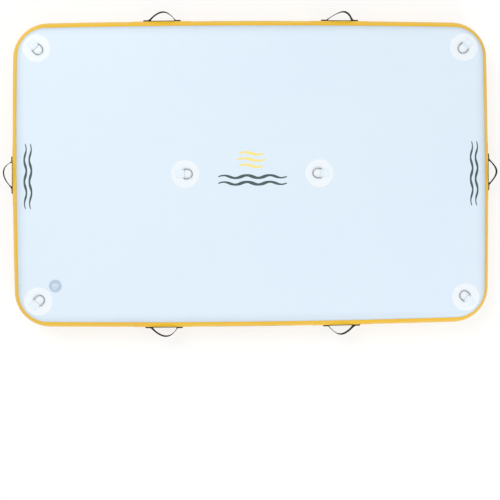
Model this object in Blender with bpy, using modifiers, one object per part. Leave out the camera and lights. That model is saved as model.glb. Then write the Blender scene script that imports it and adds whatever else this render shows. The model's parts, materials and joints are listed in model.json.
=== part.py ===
"""Inflatable dock platform: a drop-stitch air deck with six webbing handles, six D-rings and one air valve.

Run it with: blender --background --python part.py
Metres, +Z up. The origin lies on the floor under the middle of the platform. +X runs along its length,
the back is at +Y, and the valve is near the front left corner.
"""

import math

import bmesh
import bpy
from mathutils import Matrix, Vector

MM = 0.001

# Fit between pieces
GAP = 0.3 * MM  # between faces that touch on the real platform
OVERRUN = 5 * MM  # how far a cutter runs past what it cuts
WELD = 0.01 * MM  # points closer than this are one

# Platform, measured over the side band and without the handles
LENGTH = 2420 * MM
WIDTH = 1555 * MM
THICKNESS = 190 * MM
CORNER_RADIUS = 180 * MM
LONG_SIDE_BOW = 10 * MM
SHORT_SIDE_BOW = 6 * MM
BAND_HEIGHT = 169 * MM  # between the band's two edges
SIDE_BULGE = 33 * MM  # how far the side's middle stands out past the band's edges

# Coated fabric
SKIN_THICKNESS = 1.0 * MM
BAND_THICKNESS = 1.2 * MM
WALL_THICKNESS = 0.8 * MM
TAPE_THICKNESS = 0.8 * MM

# Drop-stitch fabric between the skins
PLY_THICKNESS = 0.6 * MM
PLY_MARGIN = 6 * MM  # from the edge of the flat deck
YARN_BUNDLE = 3 * MM
YARN_COLUMN_PITCH = 240 * MM
YARN_ROW_PITCH = 230 * MM
YARN_CLEARANCE = 20 * MM  # from a yarn bundle to the valve's nut

# Facets of the large curved skins
CORNER_STEPS = 6
LONG_STEPS = 5
SHORT_STEPS = 3
BAND_STEPS = 6
SHOULDER_STEPS = 3

# D-rings: where each patch lies, and where its bow points from the bar, in degrees about +Z
RING_END_INSET = 140 * MM  # from the platform's end to a corner patch's middle
RING_SIDE_INSET = 148.5 * MM  # from its long side
RING_MIDDLE_SHARE = 0.1388  # of the length, from the platform's middle to a middle patch
RING_CORNER_X = LENGTH / 2 - RING_END_INSET
RING_CORNER_Y = WIDTH / 2 - RING_SIDE_INSET
RING_MIDDLE_X = LENGTH * RING_MIDDLE_SHARE
RING_PLACES = {
    "back_left": (-RING_CORNER_X, RING_CORNER_Y, -45),
    "back_right": (RING_CORNER_X, RING_CORNER_Y, -135),
    "front_left": (-RING_CORNER_X, -RING_CORNER_Y, 45),
    "front_right": (RING_CORNER_X, -RING_CORNER_Y, 135),
    "middle_left": (-RING_MIDDLE_X, 0, 0),
    "middle_right": (RING_MIDDLE_X, 0, 180),
}
RING_PATCH_RADIUS = 70 * MM
RING_PATCH_THICKNESS = 1.2 * MM
RING_PATCH_SIDES = 32
RING_SETBACK = 8 * MM  # from the patch's middle back to the bar
RING_WIRE_RADIUS = 2.5 * MM
RING_WIDTH = 48 * MM  # between the middles of the two legs
RING_DEPTH = 42 * MM  # from the middle of the bar to the middle of the bow
RING_CORNER = 4.5 * MM
RING_CORNER_STEPS = 2
RING_BOW_STEPS = 10
KEEPER_WIDTH = 38 * MM
KEEPER_THICKNESS = 1.2 * MM
KEEPER_TAIL = 42 * MM  # from the bar's middle to the end that is welded down
KEEPER_SLOPE = 30  # degrees, down which the upper ply runs from the bar to meet the lower
KEEPER_FOLD_STEPS = 8

# Handles: the side they stand on and the place along it
HANDLE_SHARE = 0.1868  # of the length, from the platform's middle to a long side's handle
HANDLE_X = LENGTH * HANDLE_SHARE
HANDLE_PLACES = {
    "back_left": ("back", -HANDLE_X),
    "back_right": ("back", HANDLE_X),
    "front_left": ("front", -HANDLE_X),
    "front_right": ("front", HANDLE_X),
    "left_end": ("left", 0),
    "right_end": ("right", 0),
}
SIDE_TURNS = {"back": 0, "left": 90, "front": 180, "right": 270}  # degrees about +Z
# How far each root of a grip leans in before the strap turns: the root at -X of its own frame, then +X
GRIP_LEAN_SHARES = {
    "back_left": (0.43, 0.32),
    "back_right": (0.62, 0.20),
    "front_left": (0.26, 0.44),
    "front_right": (0.46, 0.38),
    "left_end": (0.43, 0.18),
    "right_end": (0.40, 0.44),
}
WEBBING_WIDTH = 50 * MM
WEBBING_THICKNESS = 2.5 * MM
GRIP_SPAN = 138 * MM  # between the grip's two roots
GRIP_REACH = 52 * MM  # from the band to the grip's outer face
GRIP_END_RADIUS = 8 * MM  # of the rounded end that rolls on the base strap
GRIP_SWING = 40  # degrees up and down
GRIP_STEPS = 12
BASE_STRAP_LENGTH = 190 * MM
HANDLE_PATCH_LENGTH = 300 * MM
HANDLE_PATCH_THICKNESS = 1.2 * MM
HANDLE_PATCH_CHAMFER = 18 * MM
HANDLE_PATCH_COLUMNS = 6
HANDLE_PATCH_ROWS = 4  # facets of the band that a patch covers

# Air valve, turned about its own axis. Heights are from the deck, and depths are below it
VALVE_END_INSET = 225 * MM  # from the platform's left end to the valve's axis
VALVE_SIDE_INSET = 224.5 * MM  # from its front side
VALVE_X = VALVE_END_INSET - LENGTH / 2
VALVE_Y = VALVE_SIDE_INSET - WIDTH / 2
VALVE_STEPS = 24
FLANGE_RADIUS = 30.5 * MM
FLANGE_THICKNESS = 3.5 * MM
FLANGE_CHAMFER = 1.3 * MM
BARREL_RADIUS = 19.5 * MM
BARREL_BORE = 16 * MM
BARREL_DEPTH = 40 * MM
SEAT_BORE = 12 * MM
SEAT_THICKNESS = 4 * MM
GROOVE_INNER = 23 * MM
GROOVE_OUTER = 27.5 * MM
GROOVE_DEPTH = 1.6 * MM
HOLE_CLEARANCE = 1 * MM  # around the barrel, in the skin and the ply
SPIDER_DEPTH = 27 * MM  # down to the spider's upper face
SPIDER_THICKNESS = 4 * MM
SPIDER_HUB = 5.5 * MM
SPOKE_WIDTH = 3 * MM
SPOKE_COUNT = 3
SPOKE_EMBED = 1.5 * MM
STEM_RADIUS = 2.5 * MM
STEM_FOOT_RADIUS = 4 * MM
STEM_FOOT_HEIGHT = 1.5 * MM
BUTTON_RADIUS = 6 * MM
BUTTON_DEPTH = 10.5 * MM  # down to the button's upper face
BUTTON_THICKNESS = 3 * MM
BUTTON_SLOT_WIDTH = 1.6 * MM
BUTTON_SLOT_DEPTH = 1.2 * MM
SPRING_RADIUS = 4.2 * MM
SPRING_WIRE_RADIUS = 0.5 * MM
SPRING_TURNS = 5
SPRING_STEPS = 8  # on each turn
SEAL_RADIUS = 14.5 * MM
SEAL_THICKNESS = 2.5 * MM
PLATE_RADIUS = 13 * MM
PLATE_THICKNESS = 1.5 * MM
NUT_RADIUS = 31 * MM
NUT_FLANGE = 4 * MM
NUT_HUB_RADIUS = 25 * MM
NUT_HEIGHT = 14 * MM

# Valve cap and its tether
CAP_RADIUS = 18 * MM
CAP_THICKNESS = 2.7 * MM
CAP_CHAMFER = 0.8 * MM
CAP_WALL = 3 * MM
CAP_ROOF = 3.2 * MM
CAP_DENT_RADIUS = 2.8 * MM
CAP_DENT_DEPTH = 1.5 * MM
CAP_DENT_PITCH = 13 * MM
CAP_DENT_SETBACK = 9.5 * MM  # from the cap's middle to the row of dents
CAP_DENT_SIDES = 12
PLUG_CLEARANCE = 0.5 * MM
PLUG_DEPTH = 2 * MM
CAP_SEAL_RADIUS = 0.6 * MM
CAP_SEAL_STEPS = 6
CAP_SEAL_DEPTH = 1.8 * MM  # from the cap's seating down to the middle of the seal
CAP_POST_RADIUS = 2 * MM
CAP_BARB_RADIUS = 3.2 * MM
CAP_BARB_HEIGHT = 1.4 * MM
TETHER_RIM = 1.4 * MM  # thickness of the tether's eye and ring
TETHER_STRAP = 1 * MM
TETHER_WIDTH = 5 * MM
TETHER_EYE_RADIUS = 5.5 * MM
TETHER_DROP = 10.6 * MM  # from the valve's axis to the outer face of the strap's drop
TETHER_RING_WIDTH = 2.4 * MM

# Colour, roughness and metallic value of each finish
DECK_WHITE = ((0.75, 0.86, 0.95), 0.42, 0.0)
PATCH_WHITE = ((0.86, 0.91, 0.96), 0.38, 0.0)
BASE_GREY = ((0.42, 0.43, 0.44), 0.50, 0.0)
BAND_YELLOW = ((0.95, 0.56, 0.01), 0.32, 0.0)
WALL_GREY = ((0.55, 0.56, 0.57), 0.55, 0.0)
YARN_WHITE = ((0.80, 0.80, 0.78), 0.90, 0.0)
WEBBING_BLACK = ((0.012, 0.012, 0.014), 0.75, 0.0)
STEEL = ((0.60, 0.61, 0.62), 0.25, 1.0)
VALVE_GREY = ((0.48, 0.54, 0.62), 0.40, 0.0)
CAP_GREY = ((0.66, 0.74, 0.84), 0.40, 0.0)
RUBBER_BLACK = ((0.03, 0.03, 0.03), 0.70, 0.0)

# Sizes worked out from the ones above
QUARTER_TURN = math.pi / 2
SWING = math.radians(GRIP_SWING)
BAND_LIFT = GAP + BAND_THICKNESS  # from the skins' outer face to the band's
SKIN_HALF_LENGTH = LENGTH / 2 - BAND_LIFT - SHORT_SIDE_BOW
SKIN_HALF_WIDTH = WIDTH / 2 - BAND_LIFT - LONG_SIDE_BOW
CORNER_X = SKIN_HALF_LENGTH - CORNER_RADIUS
CORNER_Y = SKIN_HALF_WIDTH - CORNER_RADIUS
SIDE_RADIUS = ((BAND_HEIGHT / 2) ** 2 + SIDE_BULGE**2) / (2 * SIDE_BULGE)
SIDE_ANGLE = math.asin(BAND_HEIGHT / 2 / SIDE_RADIUS)
BAND_STEP_ANGLE = 2 * SIDE_ANGLE / BAND_STEPS
SHOULDER_RADIUS = (THICKNESS - BAND_HEIGHT) / 2 / (1 - math.sin(SIDE_ANGLE))
FLAT_INSET = SIDE_BULGE + SHOULDER_RADIUS * math.cos(SIDE_ANGLE)
WALL_LIFT = -SKIN_THICKNESS - GAP
TAPE_LIFT = WALL_LIFT - WALL_THICKNESS - GAP
PLY_DEPTH = SKIN_THICKNESS + GAP
HOLE_RADIUS = BARREL_RADIUS + HOLE_CLEARANCE
RING_PATCH_TOP = THICKNESS + GAP + RING_PATCH_THICKNESS
RING_BAR_HEIGHT = RING_PATCH_TOP + GAP + KEEPER_THICKNESS + GAP + RING_WIRE_RADIUS
BASE_STRAP_LIFT = GAP + HANDLE_PATCH_THICKNESS + GAP
GRIP_AXIS_LIFT = BASE_STRAP_LIFT + WEBBING_THICKNESS + GAP + GRIP_END_RADIUS
FLANGE_TOP = GAP + FLANGE_THICKNESS
CAP_SEATING = FLANGE_TOP + GAP
CAP_TOP = CAP_SEATING + CAP_THICKNESS
CAP_ROOF_HEIGHT = CAP_TOP - CAP_ROOF
PLUG_RADIUS = BARREL_BORE - PLUG_CLEARANCE
SEAL_TOP = -BARREL_DEPTH - GAP
PLATE_TOP = SEAL_TOP - SEAL_THICKNESS - GAP
STEM_FOOT_TOP = PLATE_TOP - PLATE_THICKNESS - GAP
NUT_TOP = -PLY_DEPTH - PLY_THICKNESS - GAP

PLATFORM = bpy.data.collections.new("inflatable_dock_platform")
CUTTERS = bpy.data.collections.new("cutters_and_helpers")


def clear_scene():
    """Removes the startup objects and links the platform's two collections."""
    for obj in list(bpy.data.objects):
        bpy.data.objects.remove(obj)
    for collection in (PLATFORM, CUTTERS):
        bpy.context.scene.collection.children.link(collection)


def paint(obj, finish):
    """Gives the object a material of its own."""
    colour, roughness, metallic = finish
    material = bpy.data.materials.new(obj.name)
    material.use_nodes = True
    shader = material.node_tree.nodes["Principled BSDF"]
    shader.inputs["Base Color"].default_value = (*colour, 1)
    shader.inputs["Roughness"].default_value = roughness
    shader.inputs["Metallic"].default_value = metallic
    obj.data.materials.append(material)


def add_object(name, data, finish):
    """A named sub-part of the platform, from a mesh or a curve."""
    obj = bpy.data.objects.new(name, data)
    PLATFORM.objects.link(obj)
    paint(obj, finish)
    return obj


def mesh_from(name, mesh):
    """A mesh data block from a bmesh, which is freed."""
    data = bpy.data.meshes.new(name)
    mesh.to_mesh(data)
    mesh.free()
    return data


def smooth(obj):
    """Smooth shading with the real edges kept sharp."""
    obj.data.shade_smooth()
    obj.data.set_sharp_from_angle(angle=math.radians(35))


def solidify(obj, thickness, outwards):
    """Gives an open surface its thickness, on the side that its normals point to or on the other."""
    modifier = obj.modifiers.new("thickness", "SOLIDIFY")
    modifier.thickness = thickness
    modifier.offset = 1 if outwards else -1
    modifier.use_even_offset = True


def boolean(obj, other, operation):
    """Cuts the other object from this one, or joins it to this one. The other becomes a hidden helper."""
    modifier = obj.modifiers.new(other.name, "BOOLEAN")
    modifier.operation = operation
    modifier.object = other
    PLATFORM.objects.unlink(other)
    CUTTERS.objects.link(other)
    other.hide_render = True
    other.display_type = "WIRE"


def cylinder(name, radius, low, high, place, finish, sides=VALVE_STEPS):
    """An upright cylinder between two heights."""
    mesh = bmesh.new()
    bmesh.ops.create_cone(
        mesh, cap_ends=True, segments=sides, radius1=radius, radius2=radius, depth=high - low
    )
    obj = add_object(name, mesh_from(name, mesh), finish)
    obj.location = (*place, (low + high) / 2)
    return obj


def box(name, size, place, turn, finish):
    """A box about its middle, turned about +Z."""
    mesh = bmesh.new()
    bmesh.ops.create_cube(mesh, size=1)
    bmesh.ops.scale(mesh, vec=size, verts=mesh.verts)
    obj = add_object(name, mesh_from(name, mesh), finish)
    obj.location = place
    obj.rotation_euler.z = turn
    return obj


def turned(name, profile, finish, ring=True):
    """A turned piece on the valve's axis. The profile is (radius, height above the deck), outer side first.

    A ring's profile closes on itself. Any other starts and ends on the axis.
    """
    data = bpy.data.meshes.new(name)
    count = len(profile)
    edges = [(i, (i + 1) % count) for i in range(count if ring else count - 1)]
    data.from_pydata([(radius, 0, height) for radius, height in profile], edges, [])
    obj = add_object(name, data, finish)
    obj.location = (VALVE_X, VALVE_Y, THICKNESS)
    modifier = obj.modifiers.new("turn", "SCREW")
    modifier.steps = modifier.render_steps = VALVE_STEPS
    modifier.use_merge_vertices = True
    modifier.merge_threshold = WELD
    return obj


def tube(name, points, radius, finish, cyclic=False, resolution=2):
    """A round bar along a path."""
    curve = bpy.data.curves.new(name, "CURVE")
    curve.dimensions = "3D"
    curve.bevel_depth = radius
    curve.bevel_resolution = resolution
    curve.use_fill_caps = not cyclic
    spline = curve.splines.new("POLY")
    spline.points.add(len(points) - 1)
    for point, place in zip(spline.points, points):
        point.co = (*place, 1)
    spline.use_cyclic_u = cyclic
    return add_object(name, curve, finish)


def standing_strip(name, outlines, width, finish):
    """A strip seen edge-on: closed outlines of (along, height), made this wide across."""
    curve = bpy.data.curves.new(name, "CURVE")
    curve.dimensions = "2D"
    curve.fill_mode = "BOTH"
    curve.extrude = width / 2
    for outline_points in outlines:
        spline = curve.splines.new("POLY")
        spline.points.add(len(outline_points) - 1)
        for point, (along, height) in zip(spline.points, outline_points):
            point.co = (along, height, 0, 1)
        spline.use_cyclic_u = True
    obj = add_object(name, curve, finish)
    obj.rotation_euler.x = QUARTER_TURN
    return obj


def as_mesh(obj):
    """The curve object made a mesh with welded caps, so that a Boolean can take it."""
    bpy.context.view_layer.update()
    graph = bpy.context.evaluated_depsgraph_get()
    data = bpy.data.meshes.new_from_object(obj.evaluated_get(graph))
    mesh = bmesh.new()
    mesh.from_mesh(data)
    bmesh.ops.remove_doubles(mesh, verts=mesh.verts, dist=WELD)
    mesh.to_mesh(data)
    mesh.free()
    name = obj.name
    matrix = obj.matrix_world.copy()
    bpy.data.objects.remove(obj)
    made = bpy.data.objects.new(name, data)
    PLATFORM.objects.link(made)
    made.matrix_world = matrix
    return made


def loft(name, loops, finish, capped=(True, True)):
    """A surface through closed loops of equal length, with a flat face in the first and last if capped."""
    mesh = bmesh.new()
    rows = [[mesh.verts.new(point) for point in loop] for loop in loops]
    for low, high in zip(rows, rows[1:]):
        for i, corner in enumerate(low):
            following = (i + 1) % len(low)
            mesh.faces.new((corner, low[following], high[following], high[i]))
    if capped[0]:
        mesh.faces.new(reversed(rows[0]))
    if capped[1]:
        mesh.faces.new(rows[-1])
    return add_object(name, mesh_from(name, mesh), finish)


def arc(centre, radius, start, end, steps):
    """Points on an arc, in the plane of the centre's two coordinates."""
    angles = [start + (end - start) * step / steps for step in range(steps + 1)]
    return [(centre[0] + radius * math.cos(a), centre[1] + radius * math.sin(a)) for a in angles]


def bow_at(along, reach, bow, steps):
    """How far a faceted side stands out at a place on it, which is nothing at its two ends."""
    position = (along / reach + 1) / 2 * steps
    first = min(max(math.floor(position), 0), steps - 1)
    ends = [bow * (1 - (2 * index / steps - 1) ** 2) for index in (first, first + 1)]
    return ends[0] + (ends[1] - ends[0]) * (position - first)


def outline(inset, height):
    """The platform's plan, anticlockwise from the right, this far inside the skins' widest line."""
    radius = CORNER_RADIUS - inset
    points = []
    for quarter in range(4):
        sign_x = 1 if quarter in (0, 3) else -1
        sign_y = 1 if quarter in (0, 1) else -1
        start = QUARTER_TURN * quarter
        centre = (sign_x * CORNER_X, sign_y * CORNER_Y)
        points += arc(centre, radius, start, start + QUARTER_TURN, CORNER_STEPS)
        if quarter % 2 == 0:
            for step in range(1, LONG_STEPS):
                along = sign_x * CORNER_X * (1 - 2 * step / LONG_STEPS)
                out = SKIN_HALF_WIDTH - inset + bow_at(along, CORNER_X, LONG_SIDE_BOW, LONG_STEPS)
                points.append((along, sign_y * out))
        else:
            for step in range(1, SHORT_STEPS):
                along = sign_y * CORNER_Y * (1 - 2 * step / SHORT_STEPS)
                out = SKIN_HALF_LENGTH - inset + bow_at(along, CORNER_Y, SHORT_SIDE_BOW, SHORT_STEPS)
                points.append((sign_x * out, along))
    return [(x, y, height) for x, y in points]


def section_point(angle, lift):
    """(inset, height above the middle) on the side's section, lifted off the skins' outer face.

    The angle is the slope of the face: 0 on the side's middle, a quarter turn where the deck is flat.
    """
    if abs(angle) <= SIDE_ANGLE:
        radius = SIDE_RADIUS + lift
        return SIDE_RADIUS - radius * math.cos(angle), radius * math.sin(angle)
    radius = SHOULDER_RADIUS + lift
    centre = math.copysign(THICKNESS / 2 - SHOULDER_RADIUS, angle)
    return FLAT_INSET - radius * math.cos(angle), centre + radius * math.sin(angle)


def ring_at(angle, lift):
    """The platform's outline at one slope of its side."""
    inset, height = section_point(angle, lift)
    return outline(inset, THICKNESS / 2 + height)


def platform_skins():
    """The deck and base skins: flat sheets whose rounded shoulders turn down under the side band."""
    shoulder_step = (QUARTER_TURN - SIDE_ANGLE) / SHOULDER_STEPS
    angles = [SIDE_ANGLE + shoulder_step * step for step in range(SHOULDER_STEPS + 1)]
    angles.insert(0, SIDE_ANGLE - BAND_STEP_ANGLE)
    upper = [ring_at(angle, 0) for angle in angles]
    lower = [ring_at(-angle, 0) for angle in reversed(angles)]
    deck = loft("deck_skin", upper, DECK_WHITE, capped=(False, True))
    base = loft("base_skin", lower, BASE_GREY, capped=(True, False))
    for skin in (deck, base):
        solidify(skin, SKIN_THICKNESS, outwards=False)
        smooth(skin)
    low = THICKNESS - SKIN_THICKNESS - OVERRUN
    hole = cylinder("deck_hole", HOLE_RADIUS, low, THICKNESS + OVERRUN, (VALVE_X, VALVE_Y), DECK_WHITE)
    boolean(deck, hole, "DIFFERENCE")


def side_layers():
    """The yellow band outside, the gas-tight wall behind it, and the two tapes that seal the wall inside."""
    stations = [BAND_STEP_ANGLE * (step - BAND_STEPS / 2) for step in range(BAND_STEPS + 1)]
    shoulder_step = (QUARTER_TURN - SIDE_ANGLE) / SHOULDER_STEPS
    tape = [SIDE_ANGLE - BAND_STEP_ANGLE, SIDE_ANGLE, SIDE_ANGLE + shoulder_step]
    layers = (
        ("side_band", stations, BAND_LIFT, BAND_THICKNESS, BAND_YELLOW),
        ("inner_wall", stations, WALL_LIFT, WALL_THICKNESS, WALL_GREY),
        ("deck_seam_tape", tape, TAPE_LIFT, TAPE_THICKNESS, WALL_GREY),
        ("base_seam_tape", [-angle for angle in reversed(tape)], TAPE_LIFT, TAPE_THICKNESS, WALL_GREY),
    )
    for name, angles, lift, thickness, finish in layers:
        layer = loft(name, [ring_at(angle, lift) for angle in angles], finish, capped=(False, False))
        solidify(layer, thickness, outwards=False)
        smooth(layer)


def drop_stitch_fabric():
    """The woven core: a lower and an upper ply, tied by yarns. Each bundle here stands for many yarns."""
    inset = FLAT_INSET + PLY_MARGIN
    low = PLY_DEPTH
    high = THICKNESS - PLY_DEPTH
    lower = [outline(inset, low), outline(inset, low + PLY_THICKNESS)]
    upper = [outline(inset, high - PLY_THICKNESS), outline(inset, high)]
    fabric = loft("drop_stitch_fabric", lower, YARN_WHITE)
    columns = math.floor((SKIN_HALF_LENGTH - inset - YARN_BUNDLE) / YARN_COLUMN_PITCH)
    rows = math.floor((SKIN_HALF_WIDTH - inset - YARN_BUNDLE) / YARN_ROW_PITCH)
    size = (YARN_BUNDLE, YARN_BUNDLE, high - low - PLY_THICKNESS)
    yarns = bmesh.new()
    for column in range(-columns, columns + 1):
        for row in range(-rows, rows + 1):
            place = Vector((column * YARN_COLUMN_PITCH, row * YARN_ROW_PITCH, THICKNESS / 2))
            from_valve = (place.xy - Vector((VALVE_X, VALVE_Y))).length
            if from_valve > NUT_RADIUS + YARN_CLEARANCE:
                bmesh.ops.create_cube(yarns, size=1, matrix=Matrix.LocRotScale(place, None, size))
    boolean(fabric, add_object("yarns", mesh_from("yarns", yarns), YARN_WHITE), "UNION")
    boolean(fabric, loft("upper_ply", upper, YARN_WHITE), "UNION")
    cut_low = high - PLY_THICKNESS - OVERRUN
    hole = cylinder("ply_hole", HOLE_RADIUS, cut_low, high + OVERRUN, (VALVE_X, VALVE_Y), YARN_WHITE)
    boolean(fabric, hole, "DIFFERENCE")


def wall_out(side, along, offset):
    """How much further the wall stands out here than at a handle's middle, in the handle's own frame."""
    direction = 1 if side in ("back", "left") else -1
    if side in ("back", "front"):
        shape = (CORNER_X, LONG_SIDE_BOW, LONG_STEPS)
    else:
        shape = (CORNER_Y, SHORT_SIDE_BOW, SHORT_STEPS)
    return bow_at(along + direction * offset, *shape) - bow_at(along, *shape)


def wall_slope(side, along):
    """The wall's slope across a handle's roots, in the handle's own frame."""
    reach = GRIP_SPAN / 2
    return (wall_out(side, along, reach) - wall_out(side, along, -reach)) / (2 * reach)


def stand_on_wall(obj, side, along, lift):
    """Places an object at a handle's middle, this far off the band, with +X along the wall and +Y out."""
    if side in ("back", "front"):
        out = SKIN_HALF_WIDTH + BAND_LIFT + bow_at(along, CORNER_X, LONG_SIDE_BOW, LONG_STEPS)
        foot = Vector((along, out if side == "back" else -out, THICKNESS / 2))
    else:
        out = SKIN_HALF_LENGTH + BAND_LIFT + bow_at(along, CORNER_Y, SHORT_SIDE_BOW, SHORT_STEPS)
        foot = Vector((out if side == "right" else -out, along, THICKNESS / 2))
    turn = math.radians(SIDE_TURNS[side]) + math.atan(wall_slope(side, along))
    obj.rotation_euler.z = turn
    obj.location = foot + Matrix.Rotation(turn, 3, "Z") @ Vector((0, lift, 0))


def patch_column(half_height):
    """(inset, height) down one column of a handle's patch, on the band's own facets."""
    lift = BAND_LIFT + GAP
    rows = [
        section_point(BAND_STEP_ANGLE * (row - HANDLE_PATCH_ROWS / 2), lift)
        for row in range(HANDLE_PATCH_ROWS + 1)
    ]
    for end, inner in ((0, 1), (-1, -2)):
        (end_inset, end_height), (inner_inset, inner_height) = rows[end], rows[inner]
        height = math.copysign(min(half_height, abs(end_height)), end_height)
        share = (height - inner_height) / (end_height - inner_height)
        rows[end] = (inner_inset + (end_inset - inner_inset) * share, height)
    return rows


def handle_patch(name, side, along):
    """The oblong glued to the band, which follows its curve. Its corners are cut off."""
    half_length = HANDLE_PATCH_LENGTH / 2
    half_height = section_point(BAND_STEP_ANGLE * HANDLE_PATCH_ROWS / 2, BAND_LIFT + GAP)[1]
    inner = half_length - HANDLE_PATCH_CHAMFER
    columns = [
        (inner * (2 * column / HANDLE_PATCH_COLUMNS - 1), half_height)
        for column in range(HANDLE_PATCH_COLUMNS + 1)
    ]
    columns.insert(0, (-half_length, half_height - HANDLE_PATCH_CHAMFER))
    columns.append((half_length, half_height - HANDLE_PATCH_CHAMFER))
    mesh = bmesh.new()
    grid = []
    for offset, reach in columns:
        out = wall_out(side, along, offset) - wall_slope(side, along) * offset - BAND_LIFT
        grid.append([mesh.verts.new((offset, out - inset, height)) for inset, height in patch_column(reach)])
    for left, right in zip(grid, grid[1:]):
        for row in range(HANDLE_PATCH_ROWS):
            mesh.faces.new((left[row], left[row + 1], right[row + 1], right[row]))
    patch = add_object(f"handle_patch_{name}", mesh_from(name, mesh), BAND_YELLOW)
    solidify(patch, HANDLE_PATCH_THICKNESS, outwards=True)
    smooth(patch)
    stand_on_wall(patch, side, along, 0)


def bezier(values, share):
    """A value on a cubic curve through four control values."""
    rest = 1 - share
    weights = (rest**3, 3 * rest**2 * share, 3 * rest * share**2, share**3)
    return sum(weight * value for weight, value in zip(weights, values))


def bezier_slope(values, share):
    """A third of the rate at which the value on the cubic curve changes."""
    rest = 1 - share
    weights = (rest**2, 2 * rest * share, share**2)
    return sum(weight * (high - low) for weight, low, high in zip(weights, values, values[1:]))


def grip_half_width(out):
    """Half the strap's width this far out from the line it swings about.

    Its rounded end rolls on the base strap, and its flanks lie along the wall when it is swung right over.
    """
    if out < -GRIP_END_RADIUS * math.cos(SWING):
        return math.sqrt(GRIP_END_RADIUS**2 - out**2)
    return min(WEBBING_WIDTH / 2, (out * math.cos(SWING) + GRIP_END_RADIUS) / math.sin(SWING))


def grip(name):
    """The webbing loop, lofted from one root to the other. It swings about its own X axis."""
    end = -GRIP_END_RADIUS * math.cos(SWING / 3)
    crest = GRIP_REACH - WEBBING_THICKNESS / 2 - GRIP_AXIS_LIFT
    rise = (crest - end) * 4 / 3
    left_lean, right_lean = (GRIP_SPAN * share for share in GRIP_LEAN_SHARES[name])
    half_span = GRIP_SPAN / 2
    along = (-half_span, left_lean - half_span, half_span - right_lean, half_span)
    out = (end, end + rise, end + rise, end)
    narrow = -GRIP_END_RADIUS * math.cos(SWING)
    full = (WEBBING_WIDTH / 2 * math.sin(SWING) - GRIP_END_RADIUS) / math.cos(SWING)
    roots = [(1 - math.sqrt(1 - 4 * (level - end) / (3 * rise))) / 2 for level in (end, narrow, full)]
    shares = [roots[-1] + (1 - 2 * roots[-1]) * step / GRIP_STEPS for step in range(GRIP_STEPS + 1)]
    shares = [*roots[:-1], *shares, *(1 - root for root in reversed(roots[:-1]))]
    loops = []
    for share in shares:
        middle = Vector((bezier(along, share), bezier(out, share)))
        heading = Vector((bezier_slope(along, share), bezier_slope(out, share))).normalized()
        to_outer = Vector((-heading.y, heading.x)) * WEBBING_THICKNESS / 2
        if middle.y <= full + WELD:
            to_outer = Vector((-WEBBING_THICKNESS / 2 / heading.y, 0))
        half = grip_half_width(middle.y)
        outer = middle + to_outer
        inner = middle - to_outer
        loops.append([(*outer, -half), (*outer, half), (*inner, half), (*inner, -half)])
    loop = loft(f"grip_{name}", loops, WEBBING_BLACK)
    smooth(loop)
    return loop


def handles():
    """Six carry handles: a patch on the band, a flat strap on the patch, and the grip that swings on it."""
    strap_size = (BASE_STRAP_LENGTH, WEBBING_THICKNESS, WEBBING_WIDTH)
    for name, (side, along) in HANDLE_PLACES.items():
        handle_patch(name, side, along)
        strap = box(f"base_strap_{name}", strap_size, (0, 0, 0), 0, WEBBING_BLACK)
        stand_on_wall(strap, side, along, BASE_STRAP_LIFT + WEBBING_THICKNESS / 2)
        stand_on_wall(grip(name), side, along, GRIP_AXIS_LIFT)


def ring_path():
    """The D-ring's middle line: a straight bar along Y, two legs and a round bow towards +X."""
    half = RING_WIDTH / 2
    inner = half - RING_CORNER
    points = arc((RING_CORNER, -inner), RING_CORNER, -2 * QUARTER_TURN, -QUARTER_TURN, RING_CORNER_STEPS)
    points += arc((RING_DEPTH - half, 0), half, -QUARTER_TURN, QUARTER_TURN, RING_BOW_STEPS)
    points += arc((RING_CORNER, inner), RING_CORNER, QUARTER_TURN, 2 * QUARTER_TURN, RING_CORNER_STEPS)
    return [(x, y, 0) for x, y in points]


def keeper_outlines():
    """The folded tab seen edge-on, about the bar: its outer outline and the loop that the bar lies in."""
    inner = RING_WIRE_RADIUS + GAP
    outer = inner + KEEPER_THICKNESS
    upper = KEEPER_THICKNESS - inner
    slope = math.radians(KEEPER_SLOPE)
    neck = -outer * math.sin(slope) - (outer * math.cos(slope) - upper) / math.tan(slope)
    fold = arc((0, 0), outer, -QUARTER_TURN, QUARTER_TURN + slope, KEEPER_FOLD_STEPS)
    tail = [(neck, upper), (-KEEPER_TAIL, upper)]
    eye = arc((0, 0), inner, -QUARTER_TURN, QUARTER_TURN + slope, KEEPER_FOLD_STEPS)
    point = (-inner / math.tan(slope / 2), -inner)
    return [[*fold, *tail, (-KEEPER_TAIL, -outer)], [*eye, point]]


def d_rings():
    """Six D-rings: a round patch welded to the deck, a folded tab, and a steel ring lying in the tab."""
    drop = RING_BAR_HEIGHT - RING_WIRE_RADIUS - GAP - RING_PATCH_TOP
    tilt = math.asin(drop / RING_DEPTH)
    low = THICKNESS + GAP
    for name, (x, y, heading) in RING_PLACES.items():
        turn = math.radians(heading)
        bar = Vector((x, y, RING_BAR_HEIGHT)) - RING_SETBACK * Vector((math.cos(turn), math.sin(turn), 0))
        patch_name = f"ring_patch_{name}"
        patch = cylinder(
            patch_name, RING_PATCH_RADIUS, low, RING_PATCH_TOP, (x, y), PATCH_WHITE, sides=RING_PATCH_SIDES
        )
        smooth(patch)
        keeper = standing_strip(f"keeper_{name}", keeper_outlines(), KEEPER_WIDTH, PATCH_WHITE)
        keeper.location = bar
        keeper.rotation_euler.z = turn
        ring = tube(f"d_ring_{name}", ring_path(), RING_WIRE_RADIUS, STEEL, cyclic=True)
        ring.location = bar
        ring.rotation_euler = (0, tilt, turn)


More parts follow.
